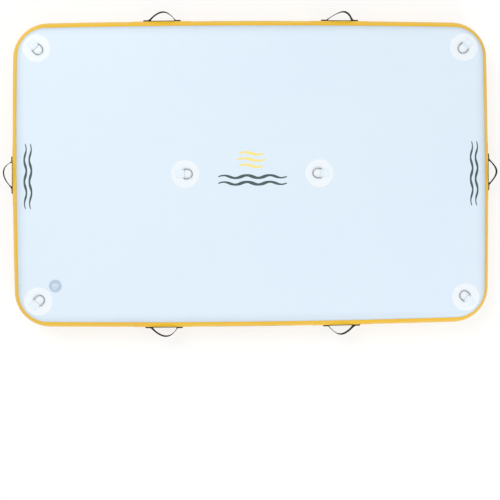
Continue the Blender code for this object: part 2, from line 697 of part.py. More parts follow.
def valve_body():
    """Flange, barrel and seat in one moulding, with the spider that guides the stem."""
    seat_top = SEAT_THICKNESS - BARREL_DEPTH
    profile = [
        (FLANGE_RADIUS - FLANGE_CHAMFER, FLANGE_TOP),
        (FLANGE_RADIUS, FLANGE_TOP - FLANGE_CHAMFER),
        (FLANGE_RADIUS, GAP),
        (GROOVE_OUTER, GAP),
        (GROOVE_OUTER, GAP + GROOVE_DEPTH),
        (GROOVE_INNER, GAP + GROOVE_DEPTH),
        (GROOVE_INNER, GAP),
        (BARREL_RADIUS, GAP),
        (BARREL_RADIUS, -BARREL_DEPTH),
        (SEAT_BORE, -BARREL_DEPTH),
        (SEAT_BORE, seat_top),
        (BARREL_BORE, seat_top),
        (BARREL_BORE, FLANGE_TOP),
    ]
    body = turned("valve_body", profile, VALVE_GREY)
    high = THICKNESS - SPIDER_DEPTH
    low = high - SPIDER_THICKNESS
    place = Vector((VALVE_X, VALVE_Y))
    reach = BARREL_BORE + SPOKE_EMBED
    spoke_size = (reach, SPOKE_WIDTH, SPIDER_THICKNESS - SPOKE_EMBED)
    for index in range(SPOKE_COUNT):
        turn = 4 * QUARTER_TURN * index / SPOKE_COUNT
        middle = place + Vector((math.cos(turn), math.sin(turn))) * reach / 2
        spoke = box(f"spoke_{index}", spoke_size, (*middle, (low + high) / 2), turn, VALVE_GREY)
        boolean(body, spoke, "UNION")
    boolean(body, cylinder("spider_hub", SPIDER_HUB, low, high, place, VALVE_GREY), "UNION")
    bore = cylinder("stem_bore", STEM_RADIUS + GAP, low - OVERRUN, high + OVERRUN, place, VALVE_GREY)
    boolean(body, bore, "DIFFERENCE")


def valve_clamp():
    """The gasket in the flange's groove, and the nut that clamps the fabric from inside."""
    gasket = [
        (GROOVE_OUTER - GAP, GROOVE_DEPTH),
        (GROOVE_OUTER - GAP, GAP),
        (GROOVE_INNER + GAP, GAP),
        (GROOVE_INNER + GAP, GROOVE_DEPTH),
    ]
    turned("valve_gasket", gasket, RUBBER_BLACK)
    nut = [
        (NUT_RADIUS, NUT_TOP),
        (NUT_RADIUS, NUT_TOP - NUT_FLANGE),
        (NUT_HUB_RADIUS, NUT_TOP - NUT_FLANGE),
        (NUT_HUB_RADIUS, NUT_TOP - NUT_HEIGHT),
        (BARREL_RADIUS + GAP, NUT_TOP - NUT_HEIGHT),
        (BARREL_RADIUS + GAP, NUT_TOP),
    ]
    turned("valve_nut", nut, VALVE_GREY)


def disc_on_stem(name, radius, top, thickness, finish):
    """A disc with the stem through it."""
    bore = STEM_RADIUS + GAP
    low = top - thickness
    turned(name, [(radius, top), (radius, low), (bore, low), (bore, top)], finish)


def valve_stem():
    """The push stem with its button, the spring under the button, and the seal that the stem holds shut."""
    under_button = -BUTTON_DEPTH - BUTTON_THICKNESS
    stem_end = STEM_FOOT_TOP - STEM_FOOT_HEIGHT
    profile = [
        (0, -BUTTON_DEPTH),
        (BUTTON_RADIUS, -BUTTON_DEPTH),
        (BUTTON_RADIUS, under_button),
        (STEM_RADIUS, under_button),
        (STEM_RADIUS, STEM_FOOT_TOP),
        (STEM_FOOT_RADIUS, STEM_FOOT_TOP),
        (STEM_FOOT_RADIUS, stem_end),
        (0, stem_end),
    ]
    stem = turned("valve_stem", profile, VALVE_GREY, ring=False)
    slot_size = (2 * BUTTON_RADIUS + OVERRUN, BUTTON_SLOT_WIDTH, 2 * BUTTON_SLOT_DEPTH)
    slot_place = (VALVE_X, VALVE_Y, THICKNESS - BUTTON_DEPTH)
    boolean(stem, box("button_slot", slot_size, slot_place, 0, VALVE_GREY), "DIFFERENCE")
    low = -SPIDER_DEPTH + GAP + SPRING_WIRE_RADIUS
    high = under_button - GAP - SPRING_WIRE_RADIUS
    steps = SPRING_TURNS * SPRING_STEPS
    coil = []
    for step in range(steps + 1):
        angle = 4 * QUARTER_TURN * step / SPRING_STEPS
        x, y = SPRING_RADIUS * math.cos(angle), SPRING_RADIUS * math.sin(angle)
        coil.append((x, y, low + (high - low) * step / steps))
    spring = tube("valve_spring", coil, SPRING_WIRE_RADIUS, STEEL, resolution=1)
    spring.location = (VALVE_X, VALVE_Y, THICKNESS)
    disc_on_stem("valve_seal", SEAL_RADIUS, SEAL_TOP, SEAL_THICKNESS, RUBBER_BLACK)
    disc_on_stem("seal_plate", PLATE_RADIUS, PLATE_TOP, PLATE_THICKNESS, VALVE_GREY)


def valve_cap():
    """The cap: a disc on the flange, a hollow plug with a seal round it, and a post for the tether's eye."""
    seal_middle = CAP_SEATING - CAP_SEAL_DEPTH
    seal_out = BARREL_BORE - GAP - CAP_SEAL_RADIUS
    groove_half = CAP_SEAL_RADIUS + GAP
    groove_inner = seal_out - groove_half
    plug_inner = PLUG_RADIUS - CAP_WALL
    barb_top = CAP_ROOF_HEIGHT - GAP - TETHER_RIM - GAP
    profile = [
        (0, CAP_TOP),
        (CAP_RADIUS - CAP_CHAMFER, CAP_TOP),
        (CAP_RADIUS, CAP_TOP - CAP_CHAMFER),
        (CAP_RADIUS, CAP_SEATING),
        (PLUG_RADIUS, CAP_SEATING),
        (PLUG_RADIUS, seal_middle + groove_half),
        (groove_inner, seal_middle + groove_half),
        (groove_inner, seal_middle - groove_half),
        (PLUG_RADIUS, seal_middle - groove_half),
        (PLUG_RADIUS, -PLUG_DEPTH),
        (plug_inner, -PLUG_DEPTH),
        (plug_inner, CAP_ROOF_HEIGHT),
        (CAP_POST_RADIUS, CAP_ROOF_HEIGHT),
        (CAP_POST_RADIUS, barb_top),
        (CAP_BARB_RADIUS, barb_top),
        (CAP_POST_RADIUS, barb_top - CAP_BARB_HEIGHT),
        (0, barb_top - CAP_BARB_HEIGHT),
    ]
    cap = turned("valve_cap", profile, CAP_GREY, ring=False)
    high = THICKNESS + CAP_TOP
    low = high - CAP_DENT_DEPTH
    for index in (-1, 0, 1):
        place = (VALVE_X + index * CAP_DENT_PITCH, VALVE_Y - CAP_DENT_SETBACK)
        name = f"cap_dent_{index + 1}"
        dent = cylinder(name, CAP_DENT_RADIUS, low, high + OVERRUN, place, CAP_GREY, sides=CAP_DENT_SIDES)
        boolean(cap, dent, "DIFFERENCE")
    section = arc((seal_out, seal_middle), CAP_SEAL_RADIUS, QUARTER_TURN, -3 * QUARTER_TURN, CAP_SEAL_STEPS)
    turned("cap_seal", section[:-1], RUBBER_BLACK)


def cap_tether():
    """The strap under the cap: an eye on the cap's post, a drop, and a ring that lies in the valve's bore."""
    eye_top = CAP_ROOF_HEIGHT - GAP
    eye_low = eye_top - TETHER_RIM
    eye_inner = CAP_POST_RADIUS + GAP
    ring_top = -PLUG_DEPTH - GAP
    ring_low = ring_top - TETHER_RIM
    ring_outer = BARREL_BORE - GAP
    ring_inner = ring_outer - TETHER_RING_WIDTH
    margin = (TETHER_RIM - TETHER_STRAP) / 2
    start = (eye_inner + TETHER_EYE_RADIUS) / 2
    finish = (ring_inner + ring_outer) / 2
    ring = [(ring_outer, ring_top), (ring_outer, ring_low), (ring_inner, ring_low), (ring_inner, ring_top)]
    eye = [
        (TETHER_EYE_RADIUS, eye_top),
        (TETHER_EYE_RADIUS, eye_low),
        (eye_inner, eye_low),
        (eye_inner, eye_top),
    ]
    strap = [
        (start, eye_low + margin),
        (TETHER_DROP - TETHER_STRAP, eye_low + margin),
        (TETHER_DROP - TETHER_STRAP, ring_low + margin),
        (finish, ring_low + margin),
        (finish, ring_top - margin),
        (TETHER_DROP, ring_top - margin),
        (TETHER_DROP, eye_top - margin),
        (start, eye_top - margin),
    ]
    tether = turned("cap_tether", ring, RUBBER_BLACK)
    boolean(tether, turned("tether_eye", eye, RUBBER_BLACK), "UNION")
    run = standing_strip("tether_strap", [strap], TETHER_WIDTH, RUBBER_BLACK)
    run.location = (VALVE_X, VALVE_Y, THICKNESS)
    boolean(tether, as_mesh(run), "UNION")


def main():
    """Builds the whole platform."""
    clear_scene()
    platform_skins()
    side_layers()
    drop_stitch_fabric()
    handles()
    d_rings()
    valve_body()
    valve_clamp()
    valve_stem()
    valve_cap()
    cap_tether()


if __name__ == "__main__":
    main()
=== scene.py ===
"""Inflatable dock platform: its coated fabrics, webbing, rings, valve and printed marks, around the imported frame.

Metres, +Z up. The origin lies on the floor under the middle of the platform, +X runs along its length, the back
is at +Y and the valve is near the front left corner.
"""

from __future__ import annotations

import sys
import json
import logging
import math
from collections.abc import Callable, Sequence
from dataclasses import dataclass, field, replace
from enum import Enum
from functools import cached_property

import bmesh
import bpy
import numpy as np
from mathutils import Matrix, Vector
from mathutils.geometry import delaunay_2d_cdt


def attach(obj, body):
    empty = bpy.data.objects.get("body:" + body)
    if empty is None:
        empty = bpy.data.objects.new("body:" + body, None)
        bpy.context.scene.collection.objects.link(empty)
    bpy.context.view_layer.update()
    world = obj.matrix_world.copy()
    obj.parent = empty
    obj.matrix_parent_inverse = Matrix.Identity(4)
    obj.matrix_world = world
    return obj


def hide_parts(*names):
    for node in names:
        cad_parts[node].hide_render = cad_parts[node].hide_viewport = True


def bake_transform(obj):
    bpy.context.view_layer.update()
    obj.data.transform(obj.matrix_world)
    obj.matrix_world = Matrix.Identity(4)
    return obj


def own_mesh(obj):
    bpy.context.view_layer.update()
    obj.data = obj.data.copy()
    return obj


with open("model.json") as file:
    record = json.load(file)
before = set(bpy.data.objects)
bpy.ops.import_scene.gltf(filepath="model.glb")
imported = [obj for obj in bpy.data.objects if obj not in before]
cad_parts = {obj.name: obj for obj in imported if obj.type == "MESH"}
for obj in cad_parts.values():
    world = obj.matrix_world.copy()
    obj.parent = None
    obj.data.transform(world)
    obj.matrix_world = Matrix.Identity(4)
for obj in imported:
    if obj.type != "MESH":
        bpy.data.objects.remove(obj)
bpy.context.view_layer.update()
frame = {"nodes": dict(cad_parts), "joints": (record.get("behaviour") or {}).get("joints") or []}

LOG = logging.getLogger("dock_platform")
MM = 0.001
QUARTER = math.pi / 2
GOLDEN = 2.399963  # radians, which spreads the phases of the small unevenness

UV_METRES = "metres"
WELD_DISTANCE = 2e-6  # metres within which two points become one
UP = np.array([0.0, 0.0, 1.0])
VALVE_PLACE = (-985 * MM, -553 * MM)

Array = np.ndarray
Colour = tuple[float, float, float]
Spot = tuple[float, float]
Socket = bpy.types.NodeSocket
Surface = Callable[[Array, Array, Array], Array]  # points from (across, along, lift)
Effect = Callable[["EffectShelf"], None]
Relief = Callable[[Array, Array, Array], tuple[Array, Array]]  # (radius, height) from (radius, height, angle)


# Node trees ------------------------------------------------


class NodeBoard:
    """Places and wires the nodes of one node tree."""

    def __init__(self, tree: bpy.types.NodeTree) -> None:
        """Starts on a tree, which keeps the nodes that it has."""
        self.tree = tree

    def place(self, kind: str, inputs: dict | None = None, **settings: object) -> bpy.types.Node:
        """Adds a node.

        Args:
            kind: Blender's name of the node type.
            inputs: a value or a socket for each input, by name or number.
            settings: the node's own properties.

        Returns:
            The new node.
        """
        node = self.tree.nodes.new(kind)
        for name, value in settings.items():
            setattr(node, name, value)
        self.fill(node, inputs or {})
        return node

    def fill(self, node: bpy.types.Node, inputs: dict) -> None:
        """Feeds several inputs of a node, by name or number."""
        for name, value in inputs.items():
            self.feed(node.inputs[name], value)

    def feed(self, socket: Socket, value: object) -> None:
        """Links a socket to an input, or sets the input to a number or a colour.

        Args:
            socket: the input.
            value: a socket, a number, a colour of three numbers or a vector.
        """
        if isinstance(value, bpy.types.NodeSocket):
            self.tree.links.new(value, socket)
        elif socket.type == "RGBA" and len(value) == 3:
            socket.default_value = (*value, 1.0)
        else:
            socket.default_value = value

    def math(
        self, operation: str, first: object, second: object = 0.0, third: object = 0.0, clamp: bool = False
    ) -> Socket:
        """Returns the result of a Math node."""
        node = self.place("ShaderNodeMath", {0: first, 1: second, 2: third}, operation=operation, use_clamp=clamp)
        return node.outputs[0]

    def times(self, first: object, second: object, clamp: bool = False) -> Socket:
        """Returns a product."""
        return self.math("MULTIPLY", first, second, clamp=clamp)

    def mix(self, share: object, first: object, second: object) -> Socket:
        """Returns a colour between two colours."""
        return self.place("ShaderNodeMix", {0: share, 6: first, 7: second}, data_type="RGBA").outputs[2]

    def noise(self, vector: Socket, scale: object, detail: float = 2.0, roughness: float = 0.5) -> Socket:
        """Returns a noise value about one half, at features per metre."""
        inputs = {"Vector": vector, "Scale": scale, "Detail": detail, "Roughness": roughness}
        return self.place("ShaderNodeTexNoise", inputs).outputs["Fac"]

    def axes(self, vector: Socket) -> tuple[Socket, Socket, Socket]:
        """Returns the three parts of a vector."""
        parts = self.place("ShaderNodeSeparateXYZ", {0: vector}).outputs
        return parts[0], parts[1], parts[2]

    def wave(self, value: Socket, pitch: object) -> Socket:
        """Returns a sine of a length, from -1 to 1, that repeats at the pitch."""
        turns = self.math("DIVIDE", value, pitch)
        return self.math("SINE", self.times(turns, 2 * math.pi))


class EffectShelf:
    """The shader node groups that several finishes share. Each is built once, when it is first asked for."""

    def __init__(self) -> None:
        """Starts with no group built."""
        self.built: dict[str, bpy.types.NodeTree] = {}

    def group(self, effect: Effect) -> bpy.types.NodeTree:
        """Gives a shared group, built at its first use.

        Args:
            effect: the method of this class that builds it.

        Returns:
            The group.
        """
        if effect.__name__ not in self.built:
            effect(self)
        return self.built[effect.__name__]

    def open_group(
        self, name: str, inputs: dict[str, object], outputs: dict[str, str]
    ) -> tuple[NodeBoard, bpy.types.NodeOutputs, bpy.types.NodeInputs]:
        """Starts a node group, which has a vector as its first input.

        Args:
            name: the group's name, which is also that of its method.
            inputs: the default of each other input: a number, or a colour of four numbers.
            outputs: each output's kind: "Float" or "Color".

        Returns:
            The board of its nodes, what it is given, and the sockets that take what it puts out.
        """
        tree = self.built[name] = bpy.data.node_groups.new(name, "ShaderNodeTree")
        tree.interface.new_socket(name="Vector", in_out="INPUT", socket_type="NodeSocketVector")
        for key, default in inputs.items():
            kind = "Float" if isinstance(default, float) else "Color"
            socket = tree.interface.new_socket(name=key, in_out="INPUT", socket_type=f"NodeSocket{kind}")
            socket.default_value = default
        for key, kind in outputs.items():
            tree.interface.new_socket(name=key, in_out="OUTPUT", socket_type=f"NodeSocket{kind}")
        board = NodeBoard(tree)
        return board, board.place("NodeGroupInput").outputs, board.place("NodeGroupOutput").inputs

    def cloud_tint(self) -> None:
        """Builds the slow change of colour over a fabric or a moulding."""
        inputs = {"Colour": (1.0,) * 4, "Deep Colour": (0.5,) * 4, "Scale": 3.0, "Amount": 0.5}
        board, given, put = self.open_group("cloud_tint", inputs, {"Colour": "Color"})
        wide = board.noise(given["Vector"], given["Scale"], 3.0)
        fine = board.noise(given["Vector"], board.times(given["Scale"], 9.0))
        both = board.math("ADD", board.times(wide, 0.7), board.times(fine, 0.3))
        spread = board.times(board.math("SUBTRACT", both, 0.38), 3.6, clamp=True)
        mask = board.times(spread, given["Amount"], clamp=True)
        board.feed(put["Colour"], board.mix(mask, given["Colour"], given["Deep Colour"]))

    def satin_breakup(self) -> None:
        """Builds the small change of gloss that handling leaves on a surface."""
        inputs = {"Scale": 8.0, "Roughness": 0.4, "Spread": 0.08}
        board, given, put = self.open_group("satin_breakup", inputs, {"Roughness": "Float"})
        patchy = board.math("SUBTRACT", board.noise(given["Vector"], given["Scale"], 5.0, 0.6), 0.5)
        shift = board.times(patchy, board.times(given["Spread"], 4.0))
        board.feed(put["Roughness"], board.math("ADD", given["Roughness"], shift, clamp=True))

    def scrim_relief(self) -> None:
        """Builds the base cloth's weave as it shows through a coating."""
        board, given, put = self.open_group("scrim_relief", {"Pitch": 0.0016}, {"Height": "Float"})
        across, along, _ = board.axes(given["Vector"])
        warp, weft = board.wave(across, given["Pitch"]), board.wave(along, given["Pitch"])
        cloth = board.times(board.times(warp, weft), 0.35)
        board.feed(put["Height"], board.math("ADD", cloth, board.noise(given["Vector"], 420.0)))

    def yarn_dimples(self) -> None:
        """Builds the faint rows of dimples where the inner yarns hold a skin down."""
        board, given, put = self.open_group("yarn_dimples", {"Pitch": 0.009}, {"Height": "Float"})
        across, along, _ = board.axes(given["Vector"])
        row, line = (board.math("MULTIPLY_ADD", board.wave(way, given["Pitch"]), 0.5, 0.5) for way in (across, along))
        dimple = board.math("POWER", board.times(row, line), 1.6)
        board.feed(put["Height"], board.math("SUBTRACT", 1.0, dimple))

    def webbing_weave(self) -> None:
        """Builds the ribs and slanted picks of flat webbing, lengthwise along U."""
        inputs, outputs = {"Rib": 0.0021, "Pick": 0.0016}, {"Height": "Float", "Crown": "Float"}
        board, given, put = self.open_group("webbing_weave", inputs, outputs)
        along, across, _ = board.axes(given["Vector"])
        ribs = board.math("DIVIDE", across, given["Rib"])
        within = board.math("FRACT", ribs)
        side = board.times(board.math("FLOOR", ribs), 0.5)
        rounded = board.math("SINE", board.times(within, math.pi))
        picks = board.math("ADD", board.math("DIVIDE", along, given["Pick"]), side)
        slant = board.math("ADD", picks, board.times(within, 0.5))
        bead = board.math("MULTIPLY_ADD", board.math("SINE", board.times(slant, 2 * math.pi)), 0.28, 0.72)
        height = board.times(rounded, bead)
        board.feed(put["Height"], height)
        board.feed(put["Crown"], board.math("POWER", height, 2.0, clamp=True))

    def painted_edge_shade(self) -> None:
        """Builds the painted shade on a skin where it turns down to the band, and a softer, wider painted shade inside
        that edge.
        """
        # The mask paints shade: strongest where the skin turns down to the band, and fading over a band inside the
        # outline.
        inputs = {"Colour": (1.0,) * 4, "Shaded Colour": (0.5,) * 4, "Middle": 0.095, "Drop": 0.0105, "Amount": 0.2}
        inputs |= {"Shade": 0.0, "Reach": 0.06, "Inset": 0.026}
        inputs |= {"Half Length": 1.21, "Half Width": 0.7775, "Corner": 0.18}
        board, given, put = self.open_group("painted_edge_shade", inputs, {"Colour": "Color"})
        x, y, height = board.axes(given["Vector"])
        past = [
            board.math("ADD", board.math("SUBTRACT", board.math("ABSOLUTE", way), given[half]), given["Corner"])
            for way, half in ((x, "Half Length"), (y, "Half Width"))
        ]
        squares = [board.math("POWER", board.math("MAXIMUM", way, 0.0), 2.0) for way in past]
        outside = board.math("SQRT", board.math("ADD", *squares))
        inside = board.math("MINIMUM", board.math("MAXIMUM", *past), 0.0)
        from_edge = board.math("SUBTRACT", given["Corner"], board.math("ADD", outside, inside))
        reached = board.math("DIVIDE", board.math("SUBTRACT", from_edge, given["Inset"]), given["Reach"], clamp=True)
        faded = board.math("POWER", board.math("SUBTRACT", 1.0, reached), 1.5)
        from_middle = board.math("ABSOLUTE", board.math("SUBTRACT", height, given["Middle"]))
        fallen = board.math("SUBTRACT", given["Middle"], from_middle)
        turned = board.math("POWER", board.math("DIVIDE", fallen, given["Drop"], clamp=True), 0.6)
        patchy = board.math("MULTIPLY_ADD", board.noise(given["Vector"], 6.0, 3.0), 0.8, 0.6)
        shaded = board.math("MULTIPLY_ADD", faded, given["Shade"], board.times(turned, given["Amount"]))
        mask = board.times(shaded, patchy, clamp=True)
        board.feed(put["Colour"], board.mix(mask, given["Colour"], given["Shaded Colour"]))

    def mould_grain(self) -> None:
        """Builds the fine grain of a moulding tool, or of a polishing wheel."""
        board, given, put = self.open_group("mould_grain", {"Size": 900.0}, {"Height": "Float"})
        fine = board.noise(given["Vector"], given["Size"], 4.0, 0.6)
        flow = board.noise(given["Vector"], board.times(given["Size"], 0.08))
        board.feed(put["Height"], board.math("ADD", fine, board.times(flow, 0.6)))


class MaterialBoard(NodeBoard):
    """The nodes of one material, with its shader and the places that its patterns follow."""

    def __init__(self, name: str, effects: EffectShelf) -> None:
        """Starts a material.

        Args:
            name: its name.
            effects: the shared groups.
        """
        self.material = bpy.data.materials.new(name)
        self.material.use_nodes = True
        super().__init__(self.material.node_tree)
        self.effects = effects
        self.shader = self.tree.nodes["Principled BSDF"]

    @cached_property
    def body(self) -> Socket:
        """Returns the place on the piece itself, in metres."""
        return self.place("ShaderNodeTexCoord").outputs["Object"]

    @cached_property
    def cloth(self) -> Socket:
        """Returns the place on the flat cloth, in metres."""
        return self.place("ShaderNodeUVMap", uv_map=UV_METRES).outputs["UV"]

    def effect(self, effect: Effect, vector: Socket, inputs: dict) -> bpy.types.NodeOutputs:
        """Places a shared group.

        Args:
            effect: the method of the shelf that builds it.
            vector: the place that it follows.
            inputs: a value or a socket for each of its other inputs.

        Returns:
            Its outputs.
        """
        given = {"Vector": vector} | inputs
        return self.place("ShaderNodeGroup", given, node_tree=self.effects.group(effect)).outputs

    def lay(self, inputs: dict) -> None:
        """Feeds several inputs of the shader, by name."""
        self.fill(self.shader, inputs)

    def relief(self, *layers: tuple[Socket, float]) -> None:
        """Bumps the shader by one height over another.

        Args:
            layers: each layer's height and its depth in metres.
        """
        normal = None
        for height, depth in layers:
            bump = self.place("ShaderNodeBump", {"Height": height, "Distance": depth})
            if normal is not None:
                self.feed(bump.inputs["Normal"], normal)
            normal = bump.outputs["Normal"]
        self.lay({"Normal": normal})


# Finishes --------------------------------------------------


@dataclass(frozen=True)
class Finish:
    """A finish, and the record's material slot that it belongs to."""

    name: str
    slot: str
    colour: Colour
    deep: Colour
    roughness: float
    spread: float = 0.05
    cloud: float = 3.0
    amount: float = 0.5

    def dress(self, board: MaterialBoard) -> None:
        """Lays the colour and the gloss, and then what this kind of finish adds.

        Args:
            board: the material's nodes.
        """
        tint = {"Colour": self.colour, "Deep Colour": self.deep, "Scale": self.cloud, "Amount": self.amount}
        plain = board.effect(EffectShelf.cloud_tint, board.body, tint)["Colour"]
        gloss = {"Scale": 3 * self.cloud, "Roughness": self.roughness, "Spread": self.spread}
        rough = board.effect(EffectShelf.satin_breakup, board.body, gloss)["Roughness"]
        board.lay({"Base Color": plain, "Roughness": rough})
        self.texture(board, plain)

    def texture(self, board: MaterialBoard, plain: Socket) -> None:
        """Adds what this kind of finish has of its own.

        Args:
            board: the material's nodes.
            plain: the colour that was laid.
        """
        raise NotImplementedError


@dataclass(frozen=True)
class CoatedFabric(Finish):
    """Coated drop-stitch or scrim fabric, satin or glossy, and the ink on it, which takes the same texture."""

    scrim_pitch: float = 1.7 * MM
    scrim_depth: float = 0.02 * MM
    dimple_pitch: float = 9.0 * MM
    dimple_depth: float = 0.0
    coat: float = 0.0
    coat_roughness: float = 0.18
    gloss: float = 0.5
    rub: float = 0.0  # painted shade where the skin turns down to the band
    shade: float = 0.0  # painted shade inside that, along the deck's edge
    soil: float = 0.55  # of the deep colour that the painted shade keeps

    def texture(self, board: MaterialBoard, plain: Socket) -> None:
        """Adds any painted shade at the edges, the coating, the cloth that shows through it, and any dimples.

        Args:
            board: the material's nodes.
            plain: the colour that was laid.
        """
        # Painted shade: the colour darkens on the shoulder and in a soft band inside the edge.
        if self.rub:
            shade_inputs = {"Colour": plain, "Shaded Colour": tuple(self.soil * part for part in self.deep)}
            shade_inputs |= {"Amount": self.rub, "Shade": self.shade}
            board.lay({"Base Color": board.effect(EffectShelf.painted_edge_shade, board.body, shade_inputs)["Colour"]})
        scrim = board.effect(EffectShelf.scrim_relief, board.cloth, {"Pitch": self.scrim_pitch})
        layers = [(scrim["Height"], self.scrim_depth)]
        if self.dimple_depth:
            dimples = board.effect(EffectShelf.yarn_dimples, board.cloth, {"Pitch": self.dimple_pitch})
            layers.append((dimples["Height"], self.dimple_depth))
        board.relief(*layers)
        board.lay({"Specular IOR Level": self.gloss, "Coat Weight": self.coat, "Coat Roughness": self.coat_roughness})


@dataclass(frozen=True)
class Webbing(Finish):
    """Flat woven polyester webbing."""

    rib: float = 2.1 * MM
    pick: float = 1.7 * MM
    depth: float = 0.16 * MM
    crown: float = 0.75  # how far the crowns take the painted highlight
    gloss: float = 0.18
    sheen: float = 0.02
    sheen_roughness: float = 0.4

    def texture(self, board: MaterialBoard, plain: Socket) -> None:
        """Adds the weave, with a painted highlight on its crowns that leaves the gaps between them darker.

        Args:
            board: the material's nodes.
            plain: the colour that was laid.
        """
        weave = board.effect(EffectShelf.webbing_weave, board.cloth, {"Rib": self.rib, "Pick": self.pick})
        # Painted highlight: the crowns take a lighter copy of the webbing's colour.
        highlight_colour = tuple(min(1.0, 2.2 * part + 0.002) for part in self.colour)
        highlighted = board.mix(board.times(weave["Crown"], self.crown), plain, highlight_colour)
        board.lay({"Base Color": highlighted, "Specular IOR Level": self.gloss})
        board.lay({"Sheen Weight": self.sheen, "Sheen Roughness": self.sheen_roughness})
        board.relief((weave["Height"], self.depth))


@dataclass(frozen=True)
class Thread(Finish):
    """Twisted sewing thread or tie yarn."""

    fuzz: float = 2600.0  # features in a metre
    depth: float = 0.1 * MM

    def texture(self, board: MaterialBoard, plain: Socket) -> None:
        """Adds the thread's soft, uneven surface."""
        board.relief((board.noise(board.body, self.fuzz), self.depth))


@dataclass(frozen=True)
class Moulding(Finish):
    """Moulded plastic or rubber."""

    grain: float = 900.0  # features in a metre
    depth: float = 0.02 * MM

    def texture(self, board: MaterialBoard, plain: Socket) -> None:
        """Adds the fine grain that the mould leaves."""
        grain = board.effect(EffectShelf.mould_grain, board.body, {"Size": self.grain})
        board.relief((grain["Height"], self.depth))


@dataclass(frozen=True)
class Steel(Moulding):
    """Polished stainless steel, with faint marks from the wheel in place of a mould's grain."""

    grain: float = 1800.0
    depth: float = 0.006 * MM

    def texture(self, board: MaterialBoard, plain: Socket) -> None:
        """Adds the marks of polishing, and the metal's shine."""
        super().texture(board, plain)
        board.lay({"Metallic": 1.0})


# The deck's two amounts paint shade on its shoulder and in a wider soft band inside its edge.
DECK_WHITE = CoatedFabric(
    "deck_white", "deck_white", (0.755, 0.868, 0.968), (0.725, 0.848, 0.958), 0.42,
    spread=0.03, cloud=1.6, amount=0.7, dimple_depth=0.05 * MM, rub=0.06, shade=0.46,
)
WELD_WHITE = CoatedFabric("weld_white", "patch_white", (0.89, 0.945, 0.99), (0.86, 0.925, 0.98), 0.36, cloud=14.0)
KEEPER_WHITE = CoatedFabric("keeper_white", "patch_white", (0.83, 0.915, 0.98), (0.78, 0.88, 0.965), 0.34, cloud=20.0)
# The base's amount paints shade where its skin turns up to the band.
BASE_GREY = CoatedFabric(
    "base_grey", "base_grey", (0.36, 0.375, 0.39), (0.32, 0.335, 0.35), 0.48,
    cloud=2.0, dimple_depth=0.06 * MM, scrim_depth=0.03 * MM, rub=0.30,
)
BAND_YELLOW = CoatedFabric(
    "band_yellow", "band_yellow", (0.92, 0.555, 0.009), (0.875, 0.485, 0.005), 0.34, cloud=4.0, coat=0.04, gloss=0.20,
)
PATCH_YELLOW = replace(BAND_YELLOW, name="patch_yellow", colour=(0.93, 0.57, 0.010), roughness=0.37, coat=0.03)
WALL_GREY = CoatedFabric("wall_grey", "wall_grey", (0.55, 0.56, 0.57), (0.50, 0.51, 0.52), 0.55)
YARN_WHITE = Thread("yarn_white", "yarn_white", (0.80, 0.80, 0.78), (0.72, 0.72, 0.70), 0.85, cloud=30.0)
WEBBING_BLACK = Webbing(
    "webbing_black", "webbing_black", (0.008, 0.009, 0.012), (0.005, 0.005, 0.007), 0.78, cloud=20.0
)
THREAD_BLACK = Thread("thread_black", "webbing_black", (0.022, 0.023, 0.028), (0.012, 0.012, 0.015), 0.6, cloud=60.0)
RING_STEEL = Steel("ring_steel", "steel", (0.33, 0.35, 0.37), (0.26, 0.28, 0.30), 0.20, spread=0.05, cloud=40.0)
SPRING_STEEL = replace(RING_STEEL, name="spring_steel", roughness=0.28)
VALVE_GREY = Moulding("valve_grey", "valve_grey", (0.52, 0.63, 0.76), (0.48, 0.59, 0.72), 0.38, cloud=25.0)
CAP_GREY = Moulding("cap_grey", "cap_grey", (0.63, 0.74, 0.86), (0.59, 0.70, 0.83), 0.36, cloud=25.0)
RUBBER_BLACK = Moulding("rubber_black", "rubber_black", (0.03, 0.03, 0.032), (0.02, 0.02, 0.022), 0.6, grain=500.0)
SLATE_INK = CoatedFabric("slate_ink", "deck_white", (0.052, 0.092, 0.095), (0.046, 0.082, 0.086), 0.45, cloud=10.0)
YELLOW_INK = CoatedFabric("yellow_ink", "band_yellow", (0.98, 0.81, 0.28), (0.95, 0.76, 0.22), 0.42, cloud=10.0)


class PaintBox:
    """Keeps one material for each finish."""

    def __init__(self) -> None:
        """Starts with no material made."""
        self.effects = EffectShelf()
        self.made: dict[str, bpy.types.Material] = {}

    def material(self, finish: Finish) -> bpy.types.Material:
        """Gives the material of a finish, built at its first use.

        Args:
            finish: the finish.

        Returns:
            Its material.
        """
        if finish.name not in self.made:
            board = MaterialBoard(finish.name, self.effects)
            finish.dress(board)
            self.made[finish.name] = board.material
        return self.made[finish.name]


# Meshes ----------------------------------------------------


